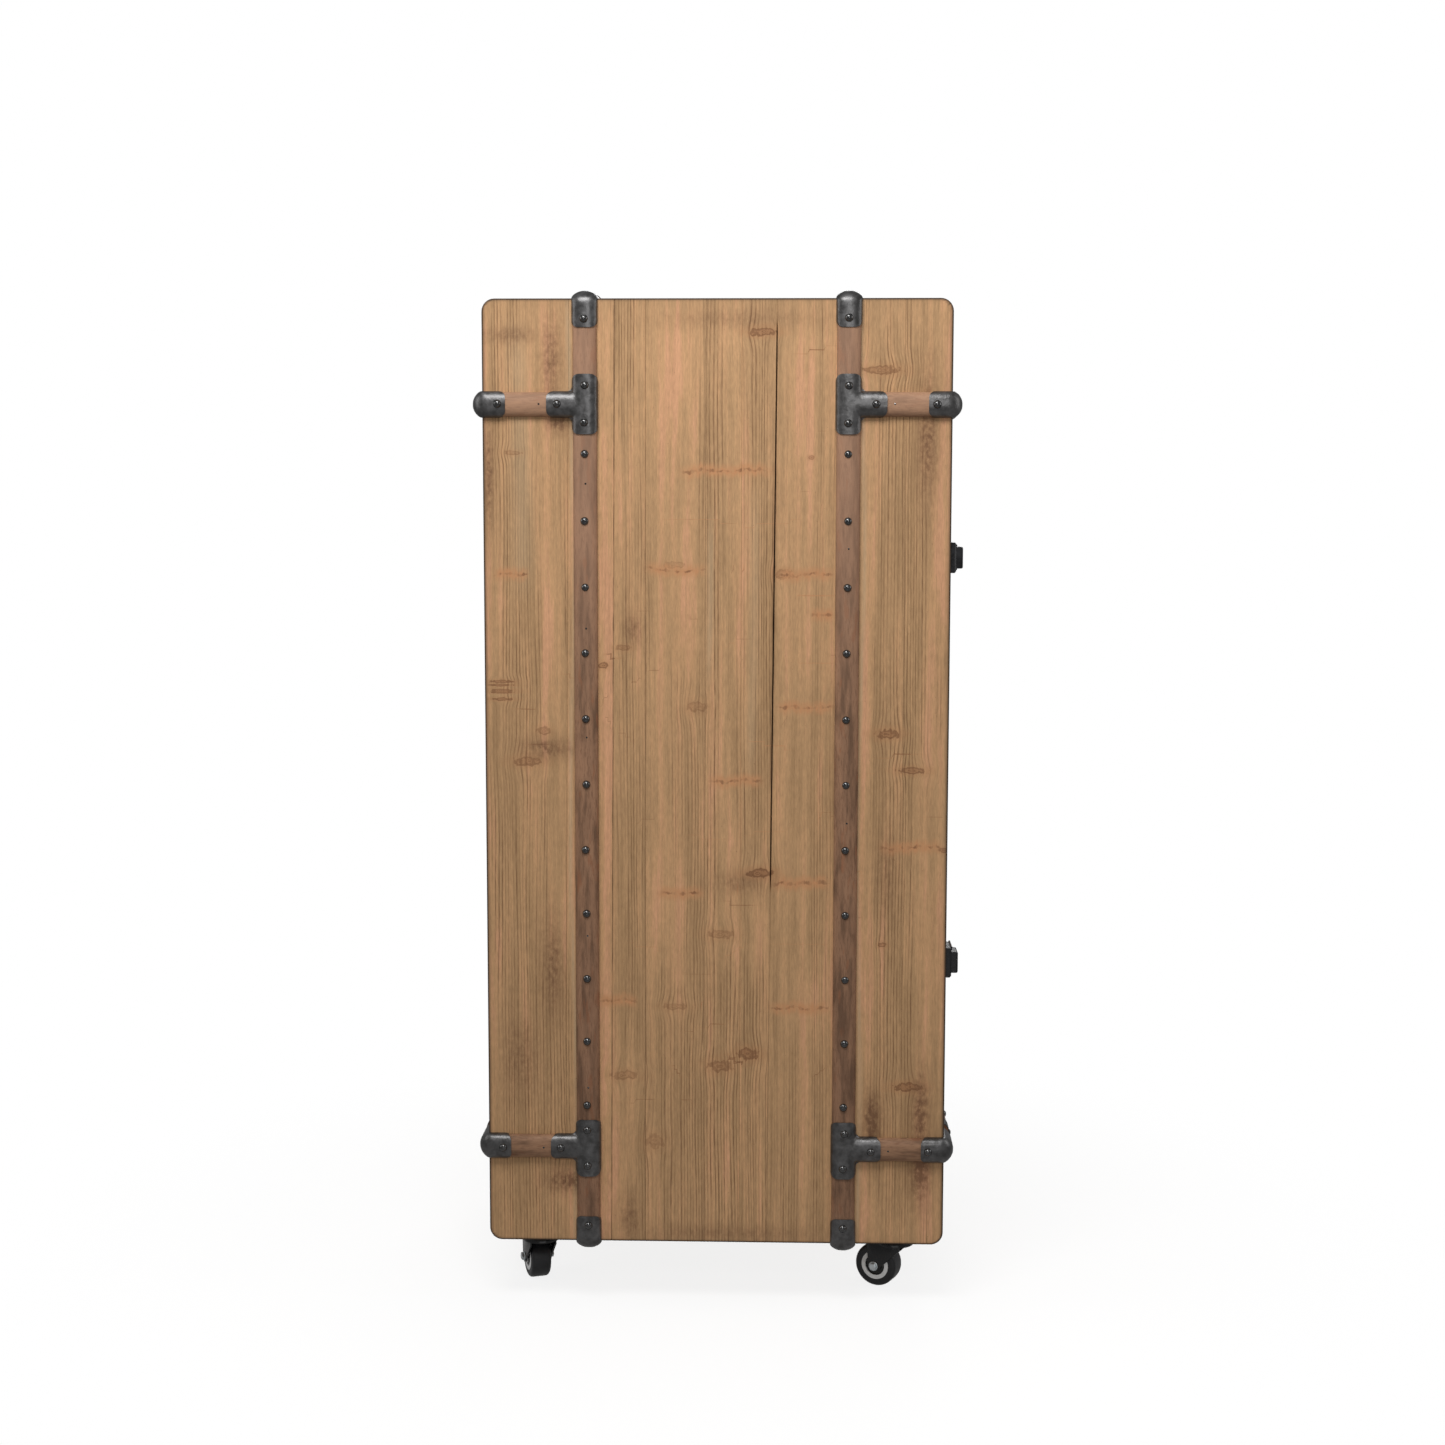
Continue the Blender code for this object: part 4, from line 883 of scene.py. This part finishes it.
# %% Carry the section along each batten
HALF_ROUND = 0.0130
batten_tasks = {}
for name in sorted(n for n in nodes if "batten" in n):
    low, high = (np.array(corner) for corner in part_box(name))
    middle = (low + high) / 2
    start, end = middle.copy(), middle.copy()
    if name.startswith("door_batten"):
        axis, outward, finish, overrun, body = 2, (0, -1, 0), BATTEN_UPRIGHT, 0.006, "door"
    elif name.startswith("cross_batten"):
        axis, outward, finish, overrun, body = 0, (0, -1, 0), BATTEN_CROSS, 0.006, "door"
    elif name.startswith("side_batten"):
        side = -1 if name.endswith("left") else 1
        axis, outward, finish, overrun, body = 1, (side, 0, 0), BATTEN_SIDE, 0.0006, "carcass"
    else:
        axis, outward, finish, overrun, body = 1, (0, 0, 1), BATTEN_ROOF, 0.0006, "carcass"
    up_axis = int(np.argmax(np.abs(outward)))
    wide_axis = ({0, 1, 2} - {axis, up_axis}).pop()
    base = high[up_axis] if sum(outward) < 0 else low[up_axis]
    start[axis], end[axis] = low[axis] - overrun, high[axis] + overrun
    if name.startswith("side_batten"):
        start[axis] += 0.0071  # room for the caps of the open door to swing past
    start[up_axis] = end[up_axis] = base
    half, tall = (high - low)[wide_axis] / 2, (high - low)[up_axis]
    rows = max(16, int((high - low)[axis] / 0.012))
    bar = half_round_bar(start, end, outward, half, tall, HALF_ROUND, len(batten_tasks), rows)
    batten_tasks[name] = (start, end, np.array(outward, float), tall, body)
    make_piece(f"{name}_wood", [bar], finish, body, (name,))
print(len(batten_tasks), "battens")

# %% [markdown]
# ## Iron tees and caps
# Each tee is one sheet beaten over the crossing of two battens. Seen from the front its outline is
# a T with round corners; its height at a point is the higher of the two bars there, blended where
# they meet. Lines drawn from the outline to the T's own centre lines cover that shape exactly once,
# so outline and depth of the line make a grid. A cap is the same half-round section carried along
# the face, round the door's edge and back along its side.

# %% Tees
IRON_HALF, IRON_HIGH, IRON_ROUND, IRON_WALL = 0.0162, 0.0123, 0.0142, 0.22
TEE_HALF_LENGTH, TEE_REACH, TEE_CORNER, TEE_FILLET = 0.037, 0.0475, 0.0085, 0.006


def crown(inside):
    """Height of the beaten sheet at a distance in from its edge: a low wall, then a quarter ellipse."""
    rest = np.clip(1 - inside / IRON_ROUND, 0, 1)
    return IRON_HIGH * (IRON_WALL + (1 - IRON_WALL) * np.sqrt(1 - rest**2))


def arc(centre, radius, start, end, count=6):
    """Points on a circle between two angles in degrees."""
    angle = np.radians(np.linspace(start, end, count))
    return np.stack([centre[0] + radius * np.cos(angle), centre[1] + radius * np.sin(angle)], axis=1)


def straight(start, end, count=6):
    """Points on a line, both ends among them."""
    return np.linspace(start, end, count)


def tee_outline():
    """Outline of the T, arm towards +x, and the point on its centre lines that each place is drawn to."""
    half, top, reach, corner = IRON_HALF, TEE_HALF_LENGTH, TEE_REACH, TEE_CORNER
    knee = half + TEE_FILLET
    outer = straight((-half, 0), (-half, top - corner), 14)
    end = [
        arc((corner - half, top - corner), corner, 180, 90),
        straight((corner - half, top), (half - corner, top)),
        arc((half - corner, top - corner), corner, 90, 0),
    ]
    inner = straight((half, top - corner), (half, knee))
    fillet = arc((knee, knee), TEE_FILLET, 180, 270, 13)
    under = straight((knee, half), (reach - corner, half), 7)
    tip = [
        arc((reach - corner, half - corner), corner, 90, 0),
        straight((reach, half - corner), (reach, 0), 4),
    ]
    turn = [straight((0, knee), (0, 0), 7), straight((0, 0), (knee, 0), 7)[1:]]
    points = np.concatenate([outer, *end, inner, fillet, under, *tip])
    ends = np.concatenate([
        np.stack([0 * outer[:, 0], np.minimum(outer[:, 1], top - half)], axis=1),
        np.tile((0, top - half), (sum(len(part) for part in end), 1)),
        np.stack([0 * inner[:, 0], np.minimum(inner[:, 1], top - half)], axis=1),
        *turn,
        np.stack([np.minimum(under[:, 0], reach - half), 0 * under[:, 0]], axis=1),
        np.tile((reach - half, 0), (sum(len(part) for part in tip), 1)),
    ])
    mirror = np.array([1, -1])
    return np.concatenate([points, points[::-1] * mirror]), np.concatenate([ends, ends[::-1] * mirror])


def make_tee(name, side):
    """Grid over the T: rows go from the outline to the centre lines, the first at the face of the door."""
    low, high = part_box(name)
    outline, ends = tee_outline()
    way_in = np.array([0, 0, 0.012, 0.035, 0.075, 0.13, 0.20, 0.29, 0.40, 0.55, 0.75, 1.0])
    plane = outline + way_in[:, None, None] * (ends - outline)
    px, pz = plane[..., 0], plane[..., 1]
    leg = crown(IRON_HALF - np.abs(px))
    arm = np.minimum(crown(IRON_HALF - np.abs(pz)), crown(px + IRON_HALF))
    arm = np.where(px > -0.002, arm, IRON_WALL * IRON_HIGH)
    height = np.minimum((leg + arm + np.sqrt((leg - arm) ** 2 + 0.0016**2)) / 2, IRON_HIGH)
    dents = np.sin(px * 610 + pz * 240) * np.sin(pz * 530 - px * 130) + np.sin(px * 300 - pz * 410)
    height = height - 0.00012 * (1 + dents / 2)
    height[0] = 0.0
    centre_x = low.x + IRON_HALF + 0.0001 if side > 0 else high.x - IRON_HALF - 0.0001
    centre_z = (low.z + high.z) / 2
    x, z = centre_x + side * px, centre_z + pz
    grid = np.stack([x, high.y - height, z], axis=-1)
    under = np.stack([x[-1], np.full(len(x[-1]), high.y), z[-1]], axis=-1)
    grid = np.concatenate([under[None], grid])
    return make_piece(f"{name}_iron", [closed_skin(grid)], IRON, "door", (name,), 50.0)


tees = []
for level in ("upper", "lower"):
    tees.append(make_tee(f"tee_{level}_left", -1))
    tees.append(make_tee(f"tee_{level}_right", 1))
print(len(tees), "tees,", len(tees[0].data.polygons), "faces each")


# %% Caps round the door's edge
CAP_BEND, CAP_END = 0.0062, 0.0085


def wrapped_cap(name, corner, edge_out, length, depth, face_high, edge_high):
    """The half-round section along the face, round the edge as a quarter ellipse, and along the side."""
    corner, edge_out = np.array(corner, float), np.array(edge_out, float)
    face_out = np.array([0.0, -1.0, 0.0])
    side = np.cross(face_out, edge_out)
    across, share = bar_section(IRON_HALF, IRON_ROUND, IRON_WALL, 9)
    edge_share = share * (0.45 + 0.55 * np.sqrt(np.clip(1 - (across / IRON_HALF) ** 2, 0, 1)))
    past = np.clip((np.abs(across) - (IRON_HALF - CAP_END)) / CAP_END, 0, 1)
    begin = length - CAP_END * (1 - np.sqrt(1 - past**2))
    bend = CAP_BEND * share
    on_face, on_edge = share * face_high, edge_share * edge_high

    def row(out, beyond):
        """Places of one row: out from the face and beyond the edge, for each place of the section."""
        return out[:, None] * face_out + beyond[:, None] * edge_out

    rows = [row(on_face, -(begin + (bend - begin) * t)) for t in np.linspace(0, 1, 12)]
    for angle in np.linspace(0, pi / 2, 12)[1:]:
        out = (bend + on_face) * cos(angle) - bend
        beyond = (bend + on_edge) * sin(angle) - bend
        rows.append(row(out, beyond))
    rows += [row(-(bend + (depth - bend) * t), on_edge) for t in np.linspace(0, 1, 8)[1:]]
    first = row(0 * begin, -begin)
    last = np.full((len(across), 1), -depth) * face_out
    rows = np.array([first.mean(axis=0) + 0 * first, first] + rows + [last, last])
    spread = across * np.r_[0, np.ones(len(rows) - 2), 0][:, None]
    grid = corner + rows + spread[..., None] * side
    dents = np.sin(grid[..., 0] * 560 + grid[..., 2] * 330) * np.sin(grid[..., 2] * 610 + grid[..., 1] * 450)
    away = np.maximum(share - 0.25, 0)[None, :, None] * (face_out + edge_out) / 1.4
    grid = grid - 0.00022 * (1 + dents[..., None]) / 2 * away
    return make_piece(f"{name}_iron", [closed_skin(grid)], IRON, "door", (name,), 50.0)


face_y = door_low.y - 0.0002
caps = []
for name in sorted(n for n in nodes if n.startswith("edge_cap")):
    low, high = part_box(name)
    side = 1 if "top" in name else -1
    edge = door_high.z if side > 0 else door_low.z
    proud = (high.z - edge) if side > 0 else (edge - low.z)
    corner = ((low.x + high.x) / 2, face_y, edge)
    caps.append(wrapped_cap(name, corner, (0, 0, side), 0.036, high.y - face_y, face_y - low.y, proud))
for name in sorted(n for n in nodes if n.startswith("corner_cap")):
    low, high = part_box(name)
    side = -1 if name.endswith("left") else 1
    edge = door_low.x if side < 0 else door_high.x
    proud = (edge - low.x) if side < 0 else (high.x - edge)
    corner = (edge, face_y, (low.z + high.z) / 2)
    caps.append(wrapped_cap(name, corner, (side, 0, 0), 0.030, high.y - face_y, face_y - low.y, proud))
print(len(caps), "caps")

# %% [markdown]
# ## Nails
# Large round-headed nails hold the battens and the iron: domes about 9 mm across, almost black, that
# each catch a spark of light. They were set by eye, so each one is a little off its line. A dome is a
# short profile turned about its own nail, and one object holds all the nails of a body.

# %% Set the nails
DOME = [  # radius and height of the profile
    (0.0, 0.0036), (0.0014, 0.0035), (0.0028, 0.0030), (0.0040, 0.0021), (0.0048, 0.0009),
    (0.0052, -0.0004), (0.0, -0.0012),
]  # fmt: skip
PIN = [(0.0, 0.0003), (0.0012, 0.0002), (0.0016, -0.0003), (0.0, -0.0006)]
NAILS_ON_BATTEN, NAIL_TOP, NAIL_STEP = 11, 1.009, 0.08264
PINS_LEFT, PINS_RIGHT = (0.972, 0.792, 0.655, 0.402, 0.205), (0.892, 0.548, 0.351, 0.262, 0.185)
BATTEN_X, CAP_NAIL_X, STRAP_LEVELS = 0.1635, 0.272, (0.126, 1.070)
chance = np.random.default_rng(7)
nail_places = {"door": [], "carcass": []}
pin_places = []


def jitter():
    """How far a nail lies off its line: 0.5 mm in each direction, normally spread."""
    return chance.normal(0, 0.0005, 3)


for name, (start, end, outward, tall, body) in batten_tasks.items():
    crest = outward * (tall - 0.0002)
    if name.startswith("door_batten"):
        for n in range(NAILS_ON_BATTEN):
            place = np.array([start[0], start[1], door_low.z + NAIL_TOP - NAIL_STEP * n])
            nail_places[body].append((place + crest + jitter(), outward))
        for z in PINS_LEFT if name.endswith("left") else PINS_RIGHT:
            pin_places.append((np.array([start[0] + 0.001, start[1], door_low.z + z]) + crest, outward))
    elif name.startswith("cross_batten"):
        pin_places.append(((start + end) / 2 + crest, outward))
    else:
        for t in np.linspace(0.035, 0.965, 6):
            place = start + t * (end - start) + crest
            nail_places[body].append((place + jitter() * (1 - np.abs(outward)), outward))

iron_top = door_low.y - 0.0003 - IRON_HIGH
forward = np.array([0, -1.0, 0])
for sign in (-1, 1):
    upright = middle_x + sign * BATTEN_X
    spots = []
    for level in STRAP_LEVELS:
        z = door_low.z + level
        spots += [(upright, z + 0.023), (upright, z - 0.023), (upright + sign * 0.0345, z)]
        spots.append((upright + sign * (CAP_NAIL_X - BATTEN_X), z))
    spots += [(upright, door_high.z - 0.025), (upright, door_low.z + 0.024)]
    for x, z in spots:
        nail_places["door"].append((np.array([x, iron_top, z]) + jitter() * [1, 0, 1], forward))
for body, places in nail_places.items():
    domes = [turned(DOME, place, out, 16) for place, out in places]
    make_piece(f"{body}_nails", domes, NAIL, body)
pins = [turned(PIN, place, out, 10) for place, out in pin_places]
make_piece("door_pins", pins, NAIL, "door")
print({body: len(places) for body, places in nail_places.items()}, "nails")

# %% [markdown]
# ## Iron on the battens of the sides and roof
# Behind the seam each batten starts and ends under a short iron shoe, as on the door, so that the two
# halves of the strap meet in iron. A shoe is the same half-round section, a little larger, and the
# batten comes half a millimetre out of it, so that its end shows wood inside an iron rim.


# %% Shoes
def shoe(start, end, outward, tall):
    """A half-round cover with a closed outer end, 1.2 mm proud of the batten under it."""
    return half_round_bar(start, end, outward, IRON_HALF, tall + 0.0012, IRON_ROUND, 3.0, 8)


shoes = []
for name, (start, end, outward, tall, body) in batten_tasks.items():
    if body == "carcass":
        way = (end - start) / np.linalg.norm(end - start)
        shoes.append(shoe(start + way * 0.0006, start + way * 0.028, outward, tall))
        shoes.append(shoe(end - way * 0.030, end - way * 0.0006, outward, tall))
make_piece("strap_shoes", shoes, IRON, "carcass")
print(len(shoes), "shoes")

# %% [markdown]
# ## Hinges, latches and rod
# Their shapes come from the fixed model, which has their pins and bores. Here they get their finish,
# and the screws and rivets that hold them on. A slot in a screw's head would be too small to see, so
# each is a low dome turned from a short profile.

# %% Screws and steel
for name, node in nodes.items():
    if name.startswith("hinge_leaf"):
        node.material_slots[0].material = HINGE
    elif name.startswith("latch_"):
        node.material_slots[0].material = LATCH
SCREW = [(0.0, 0.0005), (0.0016, 0.0007), (0.0024, 0.0004), (0.0027, 0.0), (0.0, -0.0004)]
RIVET = [(0.0, 0.0011), (0.0010, 0.0010), (0.0018, 0.0005), (0.0020, -0.0002), (0.0, -0.0004)]
screws = {"door": [], "carcass": []}
leaf_x, latch_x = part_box("left_side")[0].x - 0.0023, door_high.x + 0.0023
for name in sorted(n for n in nodes if n.startswith("hinge_leaf")):
    low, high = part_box(name)
    body = "door" if "door" in name else "carcass"
    for dz in (-0.020, 0.0, 0.020):
        inset = 0.006 if dz else 0.010
        y = low.y + inset if body == "door" else high.y - inset
        screws[body].append(turned(SCREW, (leaf_x, y, (low.z + high.z) / 2 + dz), (-1, 0, 0), 14))
for level in ("lower", "upper"):
    low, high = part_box(f"latch_keeper_{level}")
    centre_z = (low.z + high.z) / 2
    for dz in (-0.0145, 0.0145):
        for y in (low.y + 0.005, high.y - 0.005):
            screws["carcass"].append(turned(RIVET, (latch_x, y, centre_z + dz), (1, 0, 0), 12))
    low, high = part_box(f"latch_tray_{level}")
    for dz in (-0.012, 0.012):
        screws["door"].append(turned(RIVET, (latch_x, low.y + 0.006, centre_z + dz), (1, 0, 0), 12))
for body, skins in screws.items():
    make_piece(f"{body}_screws", skins, NAIL, body)
print({body: len(skins) for body, skins in screws.items()}, "screws and rivets")

# %% Hanging rod
low, high = (np.array(corner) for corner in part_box("hanging_rod"))
half, radius, eased_by = (high[0] - low[0]) / 2, (high[2] - low[2]) / 2, 0.001
right_end = [(0, half), (radius - eased_by, half), (radius, half - eased_by)]
left_end = [(r, -along) for r, along in reversed(right_end)]
rod = turned(right_end + [(radius, 0)] + left_end, (low + high) / 2, (1, 0, 0), 40)
make_piece("rod_tube", [rod], ROD, "carcass", ("hanging_rod",))
for side in ("left", "right"):
    nodes[f"rod_socket_{side}"].material_slots[0].material = ROD
print("rod", round(2 * half, 3), "m long")

# %% [markdown]
# ## Casters
# A caster has a plate screwed to the box, a fork that swivels under a ball race, and a wheel on a bolt.
# The wheel is turned: a rubber tyre with a rounded tread, a pale ring let into its face and a black
# hub. The fork's crown is a turned dome, and its legs keep the model's shape.


# %% Wheels and forks
WHEEL, TREAD, RING_OUT, RING_IN = 0.0285, 0.0132, 0.0191, 0.0136
LEG_FACE, LEG, TRAIL, EYE = 0.0155, 0.0026, 0.0235, 0.0080
CROWN = [  # radius, and how far below the crown's top
    (0, 0.0003), (0.0188, 0.0003), (0.0216, 0.0014), (0.0236, 0.0042), (0.0240, 0.0090),
    (0.0228, 0.0090), (0.0216, 0.0072), (0, 0.0072),
]  # fmt: skip
WASHER = [(0, 0.0008), (0.0058, 0.0008), (0.0063, 0.0004), (0.0063, -0.0002), (0, -0.0002)]
BOLT_HEAD = [(0, 0.0040), (0.0040, 0.0040), (0.0052, 0.0033), (0.0052, 0.0006), (0, 0.0006)]
PLATE_SCREW = [(0, -0.0024), (0.0030, -0.0022), (0.0040, -0.0010), (0.0042, 0.0002), (0, 0.0002)]


def disc_profile(inner, outer, half, round_by, steps=4):
    """Section of a ring between two radii, its outer corners rounded by quarter circles."""
    angle = np.linspace(0, pi / 2, steps + 1)
    top = [(outer - round_by + round_by * sin(a), half - round_by + round_by * cos(a)) for a in angle]
    return [(inner, half)] + top + [(r, -h) for r, h in reversed(top)] + [(inner, -half)]


def fork_leg(centre, along, across, sign, top):
    """A pressed leg: a plate with eased rims, its outline running from the crown to an eye at the axle."""
    eye = np.radians(np.linspace(200, 372, 15))
    foot = np.stack([TRAIL + EYE * np.cos(eye), WHEEL + EYE * np.sin(eye)], axis=1)
    head = np.array([(0.0335, top - 0.007), (0.0300, top), (-0.0125, top), (-0.0125, top - 0.010)])
    outline = np.concatenate([foot, head])
    middle = outline.mean(axis=0)
    faces = [(0.0, 0.0), (0.975, 0.0), (1.0, 0.0005), (1.0, LEG - 0.0007), (0.965, LEG), (0.0, LEG)]
    grid = [middle + share * (outline - middle) for share, _ in faces]
    out = np.array([LEG_FACE + depth for _, depth in faces])[:, None, None] * sign
    flat = np.array(grid)
    points = centre + flat[..., :1] * along + flat[..., 1:] * [0, 0, 1] + out * across
    return closed_skin(points)


joints = {joint["name"]: joint for joint in frame["joints"]}


def make_caster(corner):
    """Wheel, fork, axle bolt, ball race and screws of one caster, each at its own joint."""
    spin = joints[f"spin_{corner}"]
    hub, axle = np.array(spin["pos_m"], float), np.array(spin["axis"], float)
    swivel = np.array(joints[f"swivel_{corner}"]["pos_m"], float)
    pivot = np.array([swivel[0], swivel[1], 0.0])
    along = (hub - pivot) * [1, 1, 0] / np.hypot(*(hub - pivot)[:2])
    wheel, fork = f"wheel_{corner}", f"caster_{corner}"
    crown_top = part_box(f"caster_fork_{corner}")[1].z
    tyre = turned(disc_profile(0.0180, WHEEL, TREAD, 0.0046, 6), hub, axle, 72, True)
    make_piece(f"tyre_{corner}", [tyre], TYRE, wheel, (f"caster_wheel_{corner}",), 50.0)
    ring = disc_profile(RING_IN, RING_OUT, 0.0010, 0.0008)
    rings = [turned(ring, hub + side * 0.0124 * axle, axle, 56, True) for side in (-1, 1)]
    make_piece(f"ring_{corner}", rings, RING, wheel, (), 50.0)
    core = turned(disc_profile(0.0036, 0.0140, 0.0112, 0.0012), hub, axle, 48, True)
    boss = turned(disc_profile(0.0036, 0.0092, 0.0136, 0.0010), hub, axle, 40, True)
    make_piece(f"hub_{corner}", [core, boss], ENAMEL, wheel, (), 50.0)

    dome = [(radius, crown_top - drop) for radius, drop in CROWN]
    pin_end = LEG_FACE + 0.0008
    pin = [(0, pin_end), (0.0030, pin_end), (0.0030, -pin_end), (0, -pin_end)]
    steel = [turned(dome, pivot, (0, 0, 1), 56), turned(pin, hub, axle, 20)]
    steel += [fork_leg(pivot, along, axle, sign, crown_top - 0.0045) for sign in (-1, 1)]
    make_piece(f"fork_{corner}", steel, ENAMEL, fork, (f"caster_fork_{corner}",), 40.0)

    bolts = []
    for side in (-1, 1):
        face = hub + side * (LEG_FACE + LEG) * axle
        bolts += [turned(WASHER, face, side * axle, 24), turned(BOLT_HEAD, face, side * axle, 6)]
    make_piece(f"axle_bolt_{corner}", bolts, ZINC, fork, (), 20.0)

    low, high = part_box(f"caster_plate_{corner}")
    under = high.z - 0.0030
    bottom = [(0, crown_top + 0.0004), (0.0186, crown_top + 0.0004), (0.0197, crown_top + 0.0012)]
    top = [(0.0197, under - 0.0008), (0.0186, under), (0, under)]
    race = turned(bottom + top, pivot, (0, 0, 1), 56)
    make_piece(f"race_{corner}", [race], ZINC, "carcass", (), 40.0)
    screws = []
    for sx in (-0.0195, 0.0195):
        for sy in (-0.0195, 0.0195):
            screws.append(turned(PLATE_SCREW, (swivel[0] + sx, swivel[1] + sy, under), (0, 0, 1), 14))
    make_piece(f"plate_screws_{corner}", screws, ZINC, "carcass", (), 30.0)
    nodes[f"caster_plate_{corner}"].material_slots[0].material = ENAMEL


for corner in ("front_left", "front_right", "rear_left", "rear_right"):
    make_caster(corner)
print("casters dressed")

# %% [markdown]
# ## End
# The view layer is brought up to date once more.

# %% End
bpy.context.view_layer.update()
